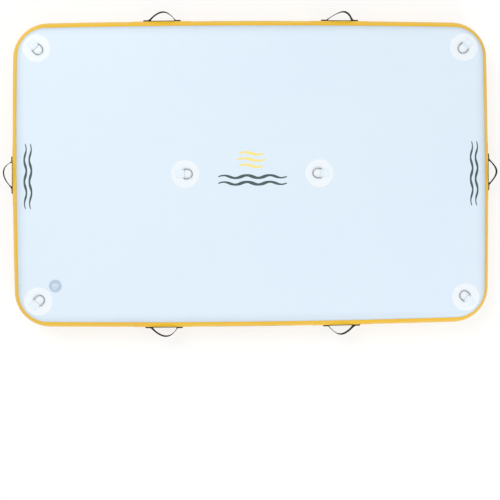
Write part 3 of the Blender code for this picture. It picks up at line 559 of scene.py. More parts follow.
class Draft:
    """A mesh being drawn: points, faces, and a place on the flat cloth for each face corner."""

    def __init__(self) -> None:
        """Starts with no point and no face."""
        self.points: list[Array] = []
        self.faces: list[list[int]] = []
        self.cloth: list[Array] = []
        self.count = 0

    def add_points(self, points: Array) -> int:
        """Adds points.

        Args:
            points: the points, in any shape that ends in 3.

        Returns:
            The number of the first.
        """
        first = self.count
        flat = np.asarray(points, float).reshape(-1, 3)
        self.points.append(flat)
        self.count += len(flat)
        return first

    def add_face(self, corners: Sequence[int], cloth: Array) -> None:
        """Adds one face from point numbers and its corners' places on the cloth."""
        self.faces.append(list(corners))
        self.cloth.append(np.asarray(cloth, float).reshape(-1, 2))

    def grid(self, points: Array, cloth: Array, loop_rows: bool = False, loop_columns: bool = False) -> int:
        """Adds a grid of four-sided faces.

        Args:
            points: rows by columns by 3.
            cloth: the same for the flat cloth, with one more row or column where that way is a loop.
            loop_rows: whether the last row joins the first.
            loop_columns: whether the last column joins the first.

        Returns:
            The number of the grid's first point.
        """
        rows, columns = points.shape[:2]
        first = self.add_points(points)
        down, across = rows - (not loop_rows), columns - (not loop_columns)
        row, column = np.divmod(np.arange(down * across), across)
        low, left = (row + 1) % rows, (column + 1) % columns
        corners = [row * columns + column, row * columns + left, low * columns + left, low * columns + column]
        self.faces += (np.stack(corners, 1) + first).tolist()
        places = [cloth[row, column], cloth[row, column + 1], cloth[row + 1, column + 1], cloth[row + 1, column]]
        self.cloth.append(np.stack(places, 1).reshape(-1, 2))
        return first

    def bar(self, points: Array, cloth: Array) -> None:
        """Adds a closed bar, from rows of points that loop round, with a face on both ends.

        Args:
            points: rows by columns by 3.
            cloth: the same for the flat cloth, with one more column.
        """
        rows, columns = points.shape[:2]
        first = self.grid(points, cloth, loop_columns=True)
        for row in (0, rows - 1):
            start = first + row * columns
            self.add_face(range(start, start + columns), cloth[row, :-1])

    def mesh(self, name: str, sharp: float = 40.0, solid: bool = True) -> bpy.types.Mesh:
        """Makes the mesh, with smooth shading up to an angle.

        Args:
            name: the mesh's name.
            sharp: the angle in degrees from which an edge stays sharp.
            solid: whether it is closed, so that its faces are turned outwards.

        Returns:
            The mesh.
        """
        data = bpy.data.meshes.new(name)
        data.from_pydata(np.concatenate(self.points).tolist(), [], self.faces)
        layer = data.uv_layers.new(name=UV_METRES)
        layer.data.foreach_set("uv", np.concatenate(self.cloth).astype(np.float32).ravel())
        work = bmesh.new()
        work.from_mesh(data)
        bmesh.ops.remove_doubles(work, verts=work.verts, dist=WELD_DISTANCE)
        bmesh.ops.dissolve_degenerate(work, edges=work.edges, dist=1e-7)
        if solid:
            bmesh.ops.recalc_face_normals(work, faces=work.faces)
        work.to_mesh(data)
        work.free()
        data.shade_smooth()
        data.set_sharp_from_angle(angle=math.radians(sharp))
        return data


def unit(vectors: Array) -> Array:
    """Returns the vectors with length 1."""
    return vectors / np.maximum(np.linalg.norm(vectors, axis=-1, keepdims=True), 1e-12)


def closed(path: Array) -> Array:
    """Returns the points with the first one again at the end."""
    return np.concatenate([path, path[:1]])


def at_height(plan: Array, height: float) -> Array:
    """Returns the points of a plan, lifted to a height."""
    return np.concatenate([plan, np.full((len(plan), 1), height)], 1)


def circle(radius: float, steps: int) -> Array:
    """Returns points round a circle about the origin."""
    turn = np.arange(steps) * 2 * math.pi / steps
    return radius * np.stack([np.cos(turn), np.sin(turn)], 1)


def left_of(path: Array) -> Array:
    """Returns the unit vectors to the left of a flat path."""
    tangent = unit(np.gradient(path, axis=0))
    return np.stack([-tangent[:, 1], tangent[:, 0]], 1)


def laid(flat: Array, first: Array, second: Array) -> Array:
    """Returns flat points or vectors, laid out along two directions in space."""
    return flat[:, :1] * first + flat[:, 1:] * second


def lengths_along(path: Array) -> Array:
    """Returns how far along the path each of its points is."""
    steps = np.linalg.norm(np.diff(path, axis=0), axis=1)
    return np.concatenate([[0.0], np.cumsum(steps)])


def cloth_grid(down: Array, across: Array) -> Array:
    """Returns the flat cloth's (down, across) for each row and column of a grid."""
    return np.stack(np.broadcast_arrays(down[:, None], across[None]), -1)


def even_path(path: Array, step: float) -> Array:
    """Spreads a path's points evenly.

    Args:
        path: the points.
        step: about how far apart they come.

    Returns:
        The new points, with the same ends.
    """
    along = lengths_along(path)
    count = max(2, round(along[-1] / step) + 1)
    wanted = np.linspace(0, along[-1], count)
    return np.stack([np.interp(wanted, along, path[:, axis]) for axis in range(path.shape[1])], 1)


def softened(path: Array, rounds: int = 3) -> Array:
    """Cuts the corners of an open path again and again.

    Args:
        path: the points.
        rounds: how often.

    Returns:
        The new points, with the same ends.
    """
    for _ in range(rounds):
        near, far = path[:-1], path[1:]
        cut = np.stack([0.75 * near + 0.25 * far, 0.25 * near + 0.75 * far], 1).reshape(-1, path.shape[1])
        path = np.concatenate([path[:1], cut, path[-1:]])
    return path


def smoothstep(value: Array) -> Array:
    """Returns a smooth rise from 0 to 1."""
    share = np.clip(value, 0, 1)
    return share * share * (3 - 2 * share)


def strap_section(width: float, thickness: float, steps: int = 9) -> Array:
    """Draws a strap's section, with round edges.

    Args:
        width: of the strap.
        thickness: of the strap.
        steps: points on each of its faces.

    Returns:
        Points of (across, up) round it, from the upper left.
    """
    radius = thickness / 2
    flat = np.linspace(radius - width / 2, width / 2 - radius, steps)
    turn = np.linspace(QUARTER, -QUARTER, 5)[1:-1]
    top = np.stack([flat, np.full(steps, radius)], 1)
    right = np.stack([width / 2 - radius + radius * np.cos(turn), radius * np.sin(turn)], 1)
    return np.concatenate([top, right, -top, -right])


@dataclass
class Strap:
    """A flat strap along a path."""

    path: Array
    across: Array
    outward: Array
    width: float
    thickness: float
    corner: float = 0.0  # radius of the strap's four corners
    bend: Callable[[Array, Array], Array] | None = None  # lift from (point number, across)

    def draw(self, draft: Draft) -> None:
        """Draws the strap as a closed solid.

        Args:
            draft: the mesh being drawn.
        """
        section = strap_section(self.width, self.thickness)
        along = lengths_along(self.path)
        from_end = np.minimum(along, along[-1] - along)
        half = np.full(len(along), self.width / 2)
        if self.corner:
            short = np.clip(1 - from_end / self.corner, 0, 1)
            half -= self.corner * (1 - np.sqrt(1 - short**2))
        share = half[:, None] * 2 / self.width
        sideways = section[None, :, 0] * share
        up = np.repeat(section[None, :, 1], len(along), 0)
        if self.bend:
            number = np.repeat(np.arange(len(along))[:, None], len(section), 1)
            up = up + self.bend(number, sideways)
        points = self.path[:, None] + self.across[:, None] * sideways[..., None] + self.outward[:, None] * up[..., None]
        draft.bar(points, cloth_grid(along, lengths_along(closed(section))))


def draw_tube(draft: Draft, path: Array, plane: Array, radius: float, sides: int = 18) -> None:
    """Draws a round bar along a closed path in one plane.

    Args:
        draft: the mesh being drawn.
        path: the path's points, without the first one repeated.
        plane: the plane's unit normal.
        radius: of the bar.
        sides: of its section.
    """
    tangent = unit(np.roll(path, -1, 0) - np.roll(path, 1, 0))
    outward = np.cross(tangent, plane)
    angle = np.arange(sides) * 2 * math.pi / sides
    ring = np.cos(angle)[None, :, None] * outward[:, None] + np.sin(angle)[None, :, None] * plane
    cloth = cloth_grid(lengths_along(closed(path)), np.append(angle, 2 * math.pi) * radius)
    draft.grid(path[:, None] + radius * ring, cloth, loop_rows=True, loop_columns=True)


def draw_turned(
    draft: Draft, profile: Array, place: Sequence[float], steps: int, relief: Relief | None = None, ring: bool = True
) -> None:
    """Draws a turned piece about an upright axis.

    Args:
        draft: the mesh being drawn.
        profile: points of (radius, height), outer side first. A ring's profile closes on itself.
        place: the axis and the height from which the profile's heights count.
        steps: round the axis.
        relief: a change of (radius, height) at each (radius, height, angle), for ribs and dents.
        ring: whether the profile closes on itself. Any other starts and ends on the axis.
    """
    angle = np.arange(steps) * 2 * math.pi / steps
    radius = np.repeat(profile[:, :1], steps, 1)
    height = np.repeat(profile[:, 1:], steps, 1)
    angles = np.repeat(angle[None], len(profile), 0)
    if relief:
        radius, height = relief(radius, height, angles)
    points = np.stack([radius * np.cos(angles), radius * np.sin(angles), height], -1) + np.asarray(place)
    outline = closed(profile) if ring else profile
    down = lengths_along(outline)
    turn = np.append(angle, 2 * math.pi)
    wide = outline[:, :1] * turn[None]
    cloth = np.stack([wide, np.repeat(down[:, None], steps + 1, 1)], -1)
    draft.grid(points, cloth, loop_rows=ring, loop_columns=True)


def rounded_profile(corners: Sequence[tuple[float, float, float]], loop: bool = True, steps: int = 4) -> Array:
    """Rounds the corners of a profile.

    Args:
        corners: (radius, height, how far back each corner is cut), in metres.
        loop: whether the profile closes on itself.
        steps: in each rounded corner.

    Returns:
        The profile's points.
    """
    spots = np.array([corner[:2] for corner in corners])
    count = len(corners)
    points = []
    for index, (_, _, cut) in enumerate(corners):
        here = spots[index]
        if cut == 0 or (not loop and index in (0, count - 1)):
            points.append(here)
            continue
        before, after = spots[index - 1] - here, spots[(index + 1) % count] - here
        start = here + before / np.linalg.norm(before) * min(cut, 0.48 * np.linalg.norm(before))
        end = here + after / np.linalg.norm(after) * min(cut, 0.48 * np.linalg.norm(after))
        for share in np.linspace(0, 1, steps + 1):
            points.append((1 - share) ** 2 * start + 2 * share * (1 - share) * here + share**2 * end)
    return np.array(points)


def rounded_rings(half_long: float, half_wide: float, radius: float, insets: Sequence[float]) -> Array:
    """Draws rounded rectangles, one inside another.

    Args:
        half_long: half the widest one's length.
        half_wide: half its width.
        radius: of its corners.
        insets: how far inside it each one lies.

    Returns:
        Rings by points by 2, all with equal counts.
    """
    rings = []
    for inset in insets:
        long, wide = half_long - inset, half_wide - inset
        corner = min(max(radius - inset, 0.2 * MM), 0.98 * min(long, wide))
        points = []
        for quarter, (sign_x, sign_y) in enumerate(((1, 1), (-1, 1), (-1, -1), (1, -1))):
            middle = np.array([sign_x * (long - corner), sign_y * (wide - corner)])
            turn = QUARTER * quarter + np.linspace(0, QUARTER, 9)
            points += list(middle + corner * np.stack([np.cos(turn), np.sin(turn)], 1))
            if quarter % 2 == 0:
                points += [(sign_x * (long - corner) * share, sign_y * wide) for share in np.linspace(1, -1, 12)[1:-1]]
            else:
                points += [(sign_x * long, sign_y * (wide - corner) * share) for share in np.linspace(1, -1, 6)[1:-1]]
        rings.append(points)
    return np.array(rings)


def draw_pad(draft: Draft, rings: Array, lifts: Sequence[float], under: float, surface: Surface) -> None:
    """Draws a thin piece that follows a surface, from rings on the flat that lie one inside another.

    Args:
        draft: the mesh being drawn.
        rings: rings by points by 2, the widest first.
        lifts: how far each ring of the upper face stands off the surface.
        under: how far the lower face stands off it.
        surface: gives the points at (across, along, lift).
    """
    first, second = rings[..., 0], rings[..., 1]
    heights = np.asarray(lifts)[:, None] + np.zeros_like(first)
    top = surface(first, second, heights)
    bottom = surface(first, second, np.full_like(first, under))
    whole = np.concatenate([bottom[::-1], top])
    flat = np.concatenate([rings[::-1], rings])
    draft.bar(whole, np.concatenate([flat, flat[:, :1]], 1))


def draw_stitches(
    draft: Draft, places: Array, tangents: Array, normals: Array, length: float, radius: float
) -> None:
    """Draws short stitches, each a long bead that lies on the cloth.

    Args:
        draft: the mesh being drawn.
        places: each stitch's middle.
        tangents: the way that it runs.
        normals: off the cloth.
        length: of a stitch.
        radius: of the thread.
    """
    stations = np.array([(-1.0, 0.25), (-0.75, 0.8), (0.0, 1.0), (0.75, 0.8), (1.0, 0.25)])
    angle = np.arange(6) * math.pi / 3
    for place, tangent, normal in zip(places, unit(tangents), unit(normals)):
        side = np.cross(tangent, normal)
        ring = np.cos(angle)[:, None] * side + np.sin(angle)[:, None] * normal
        dip = normal * radius * 0.9
        rows = [place + tangent * s * length / 2 + ring * r * radius - dip * s * s for s, r in stations]
        draft.bar(np.array(rows), cloth_grid(stations[:, 0] * length / 2, np.arange(7) * radius))


class Workshop:
    """Turns drafts into named pieces that ride on the frame."""

    def __init__(self) -> None:
        """Opens with an empty paint box."""
        self.paints = PaintBox()
        self.count = 0

    def make(
        self, name: str, draft: Draft, finish: Finish, node: str = "", body: str = "platform", sharp: float = 40.0
    ) -> bpy.types.Object:
        """Makes a piece in its finish, lets it ride on a body and stand for the frame's node, and logs it.

        Args:
            name: the piece's name.
            draft: its mesh.
            finish: its finish.
            node: the frame's node that it replaces, if any.
            body: the body's name, or an empty string to leave the piece on no body.
            sharp: the angle in degrees from which an edge stays sharp.

        Returns:
            The piece.
        """
        obj = bpy.data.objects.new(name, draft.mesh(name, sharp))
        bpy.context.scene.collection.objects.link(obj)
        obj.data.materials.append(self.paints.material(finish))
        if body:
            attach(obj, body)
        if node:
            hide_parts(node)
        self.count += 1
        LOG.info("%3d %-28s on %-18s %6d faces", self.count, name, body or "two bodies", len(obj.data.polygons))
        return obj

    def dress_node(self, node: str, finish: Finish, sharp: float = 38.0) -> None:
        """Gives a node of the frame its finish.

        Args:
            node: the node's name.
            finish: its finish.
            sharp: the angle in degrees from which an edge stays sharp.
        """
        data = frame["nodes"][node].data
        data.materials.clear()
        data.materials.append(self.paints.material(finish))
        data.shade_smooth()
        data.set_sharp_from_angle(angle=math.radians(sharp))
        LOG.info("    %-28s dressed in %s", node, finish.name)


# The platform's form ---------------------------------------


class Side(Enum):
    """A side of the platform, with the way that it faces."""

    BACK = (0, 1)
    LEFT = (-1, 0)
    FRONT = (0, -1)
    RIGHT = (1, 0)

    @property
    def is_long(self) -> bool:
        """Returns whether this is one of the two long sides."""
        return self.value[0] == 0

    @property
    def sense(self) -> int:
        """Returns 1 where a handle's own X runs along the world's axis, and -1 where it runs against it."""
        return 1 if self in (Side.BACK, Side.LEFT) else -1


@dataclass(frozen=True)
class Stations:
    """Places round the platform's outline."""

    base: Array  # on the skins' widest line
    out: Array  # outwards, in plan
    corner: Array  # 0 on a side, 1 in the middle of a corner
    along: Array  # distance round the outline, with the whole length last


@dataclass(frozen=True)
class PlatformForm:
    """The outer form of the skins, with smooth curves."""

    length: float = 2420 * MM
    width: float = 1555 * MM
    thickness: float = 190 * MM
    corner_radius: float = 180 * MM
    long_bow: float = 10 * MM
    short_bow: float = 6 * MM
    band_height: float = 169 * MM
    bulge: float = 33 * MM
    band_lift: float = 1.5 * MM
    steepest: float = 0.73  # sine of the slope down to which a mark follows the shoulder

    @cached_property
    def side_radius(self) -> float:
        """Returns the radius of the side's section."""
        return ((self.band_height / 2) ** 2 + self.bulge**2) / (2 * self.bulge)

    @cached_property
    def side_angle(self) -> float:
        """Returns the slope at the band's edges."""
        return math.asin(self.band_height / 2 / self.side_radius)

    @cached_property
    def shoulder_radius(self) -> float:
        """Returns the radius of the rounded shoulder between the band and the flat deck."""
        return (self.thickness - self.band_height) / 2 / (1 - math.sin(self.side_angle))

    @cached_property
    def flat_inset(self) -> float:
        """Returns how far inside the widest line the flat deck begins."""
        return self.bulge + self.shoulder_radius * math.cos(self.side_angle)

    @cached_property
    def half(self) -> tuple[float, float]:
        """Returns half the skins' length and width at the corners."""
        return self.length / 2 - self.band_lift - self.short_bow, self.width / 2 - self.band_lift - self.long_bow

    @cached_property
    def arc_middle(self) -> tuple[float, float]:
        """Returns the middle of a corner's arc."""
        return self.half[0] - self.corner_radius, self.half[1] - self.corner_radius

    def section(self, angle: Array, lift: Array) -> tuple[Array, Array]:
        """Gives the side's section.

        Args:
            angle: the slope of the face, 0 on the side's middle and a quarter turn on the flat deck.
            lift: how far off the skins' outer face.

        Returns:
            How far inside the widest line, and the height above the middle.
        """
        on_side = np.abs(angle) <= self.side_angle
        radius = np.where(on_side, self.side_radius, self.shoulder_radius) + lift
        start = np.where(on_side, self.side_radius, self.flat_inset)
        middle = np.where(on_side, 0.0, np.sign(angle) * (self.thickness / 2 - self.shoulder_radius))
        return start - radius * np.cos(angle), middle + radius * np.sin(angle)

    def stations(self, corner_steps: int = 84, long_steps: int = 170, short_steps: int = 98) -> Stations:
        """Spreads places round the outline, anticlockwise from the right end of the back right corner.

        Args:
            corner_steps: steps round each corner.
            long_steps: steps along each long side.
            short_steps: steps along each end.

        Returns:
            The places.
        """
        base, out, corner = [], [], []
        for quarter in range(4):
            sign = np.array([1 if quarter in (0, 3) else -1, 1 if quarter in (0, 1) else -1])
            share = np.linspace(0, 1, corner_steps + 1)
            turn = QUARTER * (quarter + share)
            facing = np.stack([np.cos(turn), np.sin(turn)], 1)
            base.append(sign * self.arc_middle + self.corner_radius * facing)
            out.append(facing)
            corner.append(np.sin(share * math.pi))
            is_long = quarter % 2 == 0
            along = np.linspace(1, -1, (long_steps if is_long else short_steps) + 1)[1:-1]
            bow = 1 - along**2
            if is_long:
                spots = [sign[0] * self.arc_middle[0] * along, sign[1] * (self.half[1] + self.long_bow * bow)]
            else:
                spots = [sign[0] * (self.half[0] + self.short_bow * bow), sign[1] * self.arc_middle[1] * along]
            base.append(np.stack(spots, 1))
            out.append(np.tile([0.0, sign[1]] if is_long else [sign[0], 0.0], (len(along), 1)))
            corner.append(np.zeros(len(along)))
        base = np.concatenate(base)
        return Stations(base, np.concatenate(out), np.concatenate(corner), lengths_along(closed(base)))

    def skin(self, at: Stations, angle: Array, lift: Array | float) -> Array:
        """Gives points on the side or shoulder.

        Args:
            at: places round the outline.
            angle: slopes of the section.
            lift: how far off the skins' outer face.

        Returns:
            The points, as slopes by stations by 3.
        """
        slopes = np.repeat(np.asarray(angle)[:, None], len(at.base), 1)
        inset, height = self.section(slopes, np.broadcast_to(lift, slopes.shape))
        plan = at.base[None] - at.out[None] * inset[..., None]
        return np.concatenate([plan, (self.thickness / 2 + height)[..., None]], -1)

    def wall(self, side: Side, along: Array, climb: Array, lift: Array) -> Array:
        """Gives points on a straight side's wall.

        Args:
            side: the side.
            along: the place along the world's axis.
            climb: the distance up the curved wall from its middle.
            lift: how far off the skin.

        Returns:
            The points.
        """
        inset, height = self.section(climb / self.side_radius, lift)
        reach = self.arc_middle[0] if side.is_long else self.arc_middle[1]
        bow = (self.long_bow if side.is_long else self.short_bow) * (1 - (along / reach) ** 2)
        out = self.half[1 if side.is_long else 0] + bow - inset
        z = self.thickness / 2 + height
        x, y = side.value
        return np.stack([along, y * out, z] if side.is_long else [x * out, along, z], -1)

    def deck(self, x: Array, y: Array, lift: Array | float) -> Array:
        """Gives points on the deck and its shoulders.

        Args:
            x: along the platform.
            y: across it.
            lift: how far off the skin.

        Returns:
            The points.
        """
        along_x, along_y = np.abs(x) / self.arc_middle[0], np.abs(y) / self.arc_middle[1]
        side_y = self.half[1] + self.long_bow * np.clip(1 - along_x**2, 0, None) - np.abs(y)
        side_x = self.half[0] + self.short_bow * np.clip(1 - along_y**2, 0, None) - np.abs(x)
        round_corner = self.corner_radius - np.hypot(np.abs(x) - self.arc_middle[0], np.abs(y) - self.arc_middle[1])
        in_corner = (along_x > 1) & (along_y > 1)
        inset = np.where(in_corner, round_corner, np.minimum(side_x, side_y))
        leaned = np.clip((self.flat_inset - inset) / self.shoulder_radius, 0, self.steepest)
        drop = self.shoulder_radius * (1 - np.sqrt(1 - leaned**2))
        return np.stack([x, y, self.thickness - drop + lift], -1)


# Sub-assemblies --------------------------------------------


@dataclass
class AirDeck:
    """The two skins, the yellow band, the wall and tapes behind it, and the yarns that hold the deck flat."""

    form: PlatformForm
    shop: Workshop
    skin_thickness: float = 1.0 * MM
    band_thickness: float = 1.2 * MM
    wall_thickness: float = 0.8 * MM
    tuck: float = 14.2  # degrees that a skin runs on under the band
    valve: Spot = VALVE_PLACE
    hole_radius: float = 20.5 * MM
    grid_pitch: float = 45 * MM
    pucker_pitch: float = 21 * MM
    pucker_depth: float = 0.55 * MM
    gap: float = 0.3 * MM  # between layers that touch
    tape_lean: float = 15.78  # degrees that a tape runs up the shoulder
    edge_step: float = 0.32 * MM  # of the band's face over the skins' tucked edges
    hem: float = 0.45 * MM  # by which the band is thinner at its two edges
    lap_place: float = 0.80  # X of the joint between the band's two ends
    lap_half: float = 0.022
    lap_step: float = 0.7 * MM
    ply: float = 0.6 * MM
    ply_inset: float = 6 * MM  # of a ply's edge inside the flat part
    yarn_pitch: float = 30 * MM
    yarn_width: float = 1.2 * MM
    yarn_root: float = 0.4 * MM  # of a yarn's end from its ply's outer face
    yarn_clear: float = 48 * MM  # of the yarns from the valve's axis

    def build(self) -> None:
        """Builds the deck's layers from outside to inside."""
        at = self.form.stations()
        self.cover("deck_cover", at, True, DECK_WHITE, "deck_skin")
        self.cover("base_cover", at, False, BASE_GREY, "base_skin")
        self.band(at)
        self.inner_layers()
        self.core()

    def hole(self, steps: int) -> Array:
        """Returns the outline of the valve's hole."""
        return np.array(self.valve) + circle(self.hole_radius, steps)

    def cover(self, name: str, at: Stations, is_deck: bool, finish: Finish, node: str) -> None:
        """Builds the deck's or the base's cover, whose shoulder runs down under the band.

        Args:
            name: the piece's name.
            at: places round the outline.
            is_deck: whether this is the deck's cover.
            finish: its finish.
            node: the frame's node that it replaces.
        """
        form = self.form
        sign = 1 if is_deck else -1
        under = form.side_angle - math.radians(self.tuck)
        angles = np.concatenate([np.linspace(QUARTER, form.side_angle, 15), np.linspace(form.side_angle, under, 5)[1:]])
        radii = np.where(angles[1:] >= form.side_angle - 1e-9, form.shoulder_radius, form.side_radius)
        run = np.concatenate([[0.0], np.cumsum(-np.diff(angles) * radii)])
        outer = form.skin(at, sign * angles, 0.0)
        inner = form.skin(at, sign * angles, -self.skin_thickness)
        rows = np.concatenate([outer, inner[::-1]])
        edge = outer[0, :, :2]
        unrolled = edge[None] + at.out[None] * np.concatenate([run, run[::-1]])[:, None, None]
        draft = Draft()
        draft.grid(rows, np.concatenate([unrolled, unrolled[:, :1]], 1), loop_columns=True)
        hole = self.hole(72) if is_deck else None
        high = form.thickness if is_deck else 0.0
        levels = (high, high - sign * self.skin_thickness)
        for level in levels:
            self.flat(draft, edge, hole, level, flip=(level == high) != is_deck)
        if hole is not None:
            rim = np.stack([at_height(hole, level) for level in levels])
            draft.grid(rim, np.stack([closed(hole), closed(hole) + self.skin_thickness]), loop_columns=True)
        obj = self.shop.make(name, draft, finish, node, sharp=30)

    @staticmethod
    def cut_area(unrolled: Array) -> float:
        """Returns the area of a cover's cut, inside its unrolled edge."""
        x, y = unrolled[len(unrolled) // 2].T
        return float(abs(np.dot(x, np.roll(y, -1)) - np.dot(y, np.roll(x, -1))) / 2)

    def flat(self, draft: Draft, edge: Array, hole: Array | None, level: float, flip: bool) -> None:
        """Fills the flat part of a cover or a ply with triangles.

        Args:
            draft: the mesh being drawn.
            edge: the flat part's outline.
            hole: the outline of the valve's hole, if there is one.
            level: the height.
            flip: whether the faces look down.
        """
        spots = [tuple(spot) for spot in edge]
        lines = [(i, (i + 1) % len(edge)) for i in range(len(edge))]
        if hole is not None:
            start = len(spots)
            spots += [tuple(spot) for spot in hole]
            lines += [(start + i, start + (i + 1) % len(hole)) for i in range(len(hole))]
        margin = 0.4 * self.grid_pitch
        corner = self.form.corner_radius - self.form.flat_inset - margin
        clear = -1.0 if hole is None else self.hole_radius + margin
        spots += self.lattice(edge, self.grid_pitch, 0.7 * self.grid_pitch, corner, clear)
        made = delaunay_2d_cdt([Vector(spot) for spot in spots], lines, [], 1, 1e-7)
        plan = np.array([tuple(spot) for spot in made[0]])
        first = draft.add_points(at_height(plan, level))
        for face in made[2]:
            corners = list(face)[::-1] if flip else list(face)
            if hole is None or math.dist(plan[corners].mean(0), self.valve) > self.hole_radius:
                draft.add_face([first + corner for corner in corners], plan[corners])

    def lattice(self, edge: Array, pitch: float, rim: float, corner: float, clear: float) -> list[Spot]:
        """Lays a square lattice inside an outline.

        Args:
            edge: the outline.
            pitch: of the lattice.
            rim: how far inside the outline it ends.
            corner: how far past the middle of a corner's arc a point may lie.
            clear: how far from the valve's axis the points stay.

        Returns:
            The lattice's points.
        """
        reach = np.abs(edge).max(0) - rim
        spots = []
        for x in np.arange(-reach[0], reach[0], pitch):
            for y in np.arange(-reach[1], reach[1], pitch):
                past = np.hypot(*np.maximum(np.abs((x, y)) - self.form.arc_middle, 0))
                if past < corner and math.dist((x, y), self.valve) > clear:
                    spots.append((x, y))
        return spots

    def hoop(self, at: Stations, angles: Array, outer: Array | float, inner: float) -> Draft:
        """Draws a layer that runs right round the platform.

        Args:
            at: places round the outline.
            angles: slopes of the section, from one edge of the layer to the other.
            outer: how far the outer face stands off the skins.
            inner: how far the inner face does.

        Returns:
            The mesh being drawn.
        """
        faces = [self.form.skin(at, angles, outer), self.form.skin(at, angles, inner)[::-1]]
        climb = angles * self.form.side_radius
        run = np.concatenate([climb, climb[::-1], climb[:1]])
        draft = Draft()
        draft.grid(np.concatenate(faces), cloth_grid(run, at.along)[..., ::-1], loop_rows=True, loop_columns=True)
        return draft

    def band_relief(self, angle: Array, at: Stations) -> Array:
        """Gives how far the band's outer face stands off its even form, at each slope and station.

        Args:
            angle: slopes of the section.
            at: stations round the outline.

        Returns:
            The relief in metres, as slopes by stations.
        """
        form, along = self.form, at.along[:-1]
        total = at.along[-1]
        slope = np.abs(angle)[:, None]
        to_edge = (form.side_angle - slope) * form.side_radius
        phase = sum(math.sin(k * GOLDEN) * np.sin(2 * math.pi * k * along / total + k * k) for k in (3, 5, 8, 13))
        gathers = round(total / self.pucker_pitch)
        fold = np.cos(2 * math.pi * gathers * along / total + 1.7 * phase + np.sign(angle)[:, None] * 0.8)
        uneven = 0.65 + 0.35 * np.sin(2 * math.pi * 31 * along / total + 1.3)
        pucker = self.pucker_depth * at.corner**0.7 * uneven * fold * np.exp(-((to_edge / 0.012) ** 2))
        swell = sum(
            (0.16 * MM / (1 + i)) * np.sin(2 * math.pi * k * along / total + GOLDEN * k) * np.cos(slope * (2 + i))
            for i, k in enumerate((11, 23, 41))
        )
        past_skin = (slope - form.side_angle + math.radians(self.tuck)) * form.side_radius
        over_skin = self.edge_step * smoothstep(past_skin / 0.003)
        return pucker + swell + over_skin - self.edge_step * smoothstep(1 - to_edge / 0.0015)

    def band(self, at: Stations) -> None:
        """Builds the yellow band, gathered a little along its edges at the corners, with its ends lapped.

        Args:
            at: places round the outline.
        """
        form = self.form
        near_edge = np.linspace(0.97, 1, 4)
        angles = np.concatenate([-near_edge[::-1], np.linspace(-0.97, 0.97, 35)[1:-1], near_edge]) * form.side_angle
        relief = self.band_relief(angles, at) + self.lap(at)[None]
        edge = np.abs(angles) >= form.side_angle * 0.9999
        outer = form.band_lift + np.where(edge[:, None], -self.hem, 0) + relief
        draft = self.hoop(at, angles, outer, form.band_lift - self.band_thickness)
        obj = self.shop.make("side_wall_band", draft, BAND_YELLOW, "side_band", sharp=50)

    def lap(self, at: Stations) -> Array:
        """Returns the step where the band's two ends lap, on the right of the front side."""
        past = np.where(at.base[:, 1] < -0.7, at.base[:, 0] - self.lap_place, 1.0)
        return self.lap_step * smoothstep((past + self.lap_half) / 0.0035) * smoothstep((self.lap_half - past) / 0.012)

    def inner_layers(self) -> None:
        """Builds the gas-tight wall and the two tapes that seal it, which only a cut or exploded view shows."""
        form = self.form
        at = form.stations(24, 40, 24)
        wall_lift = -self.skin_thickness - self.gap
        tape_lift = wall_lift - self.wall_thickness - self.gap
        low, high = form.side_angle - math.radians(self.tuck), form.side_angle + math.radians(self.tape_lean)
        layers = (
            ("inner_side_wall", "inner_wall", np.linspace(-form.side_angle, form.side_angle, 19), wall_lift),
            ("deck_seam_strip", "deck_seam_tape", np.linspace(low, high, 9), tape_lift),
            ("base_seam_strip", "base_seam_tape", np.linspace(-high, -low, 9), tape_lift),
        )
        for name, node, angles, lift in layers:
            self.shop.make(name, self.hoop(at, angles, lift, lift - self.wall_thickness), WALL_GREY, node)

    def core(self) -> None:
        """Builds the two woven plies and the yarns between them."""
        form = self.form
        at = form.stations(12, 20, 12)
        inset = form.flat_inset + self.ply_inset
        edge = at.base - at.out * inset
        draft = Draft()
        low = self.skin_thickness + self.gap
        high = form.thickness - low
        for bottom, top, hole in ((low, low + self.ply, None), (high - self.ply, high, self.hole(36))):
            self.flat(draft, edge, hole, top, flip=False)
            self.flat(draft, edge, hole, bottom, flip=True)
            for loop in (edge, hole):
                if loop is not None:
                    wall = np.stack([at_height(loop, height) for height in (bottom, top)])
                    draft.grid(wall, np.stack([closed(loop), closed(loop)]), loop_columns=True)
        ends = (low + self.yarn_root, high - self.yarn_root)
        square = np.array([(-1, -1), (1, -1), (1, 1), (-1, 1)]) * self.yarn_width / 2
        corner = form.corner_radius - inset - 4 * MM
        for spot in self.lattice(edge, self.yarn_pitch, 0.5 * self.yarn_pitch, corner, self.yarn_clear):
            yarn = np.stack([at_height(square + spot, height) for height in ends])
            draft.bar(yarn, np.zeros((2, 5, 2)) + spot)
        self.shop.make("drop_stitch_core", draft, YARN_WHITE, "drop_stitch_fabric")


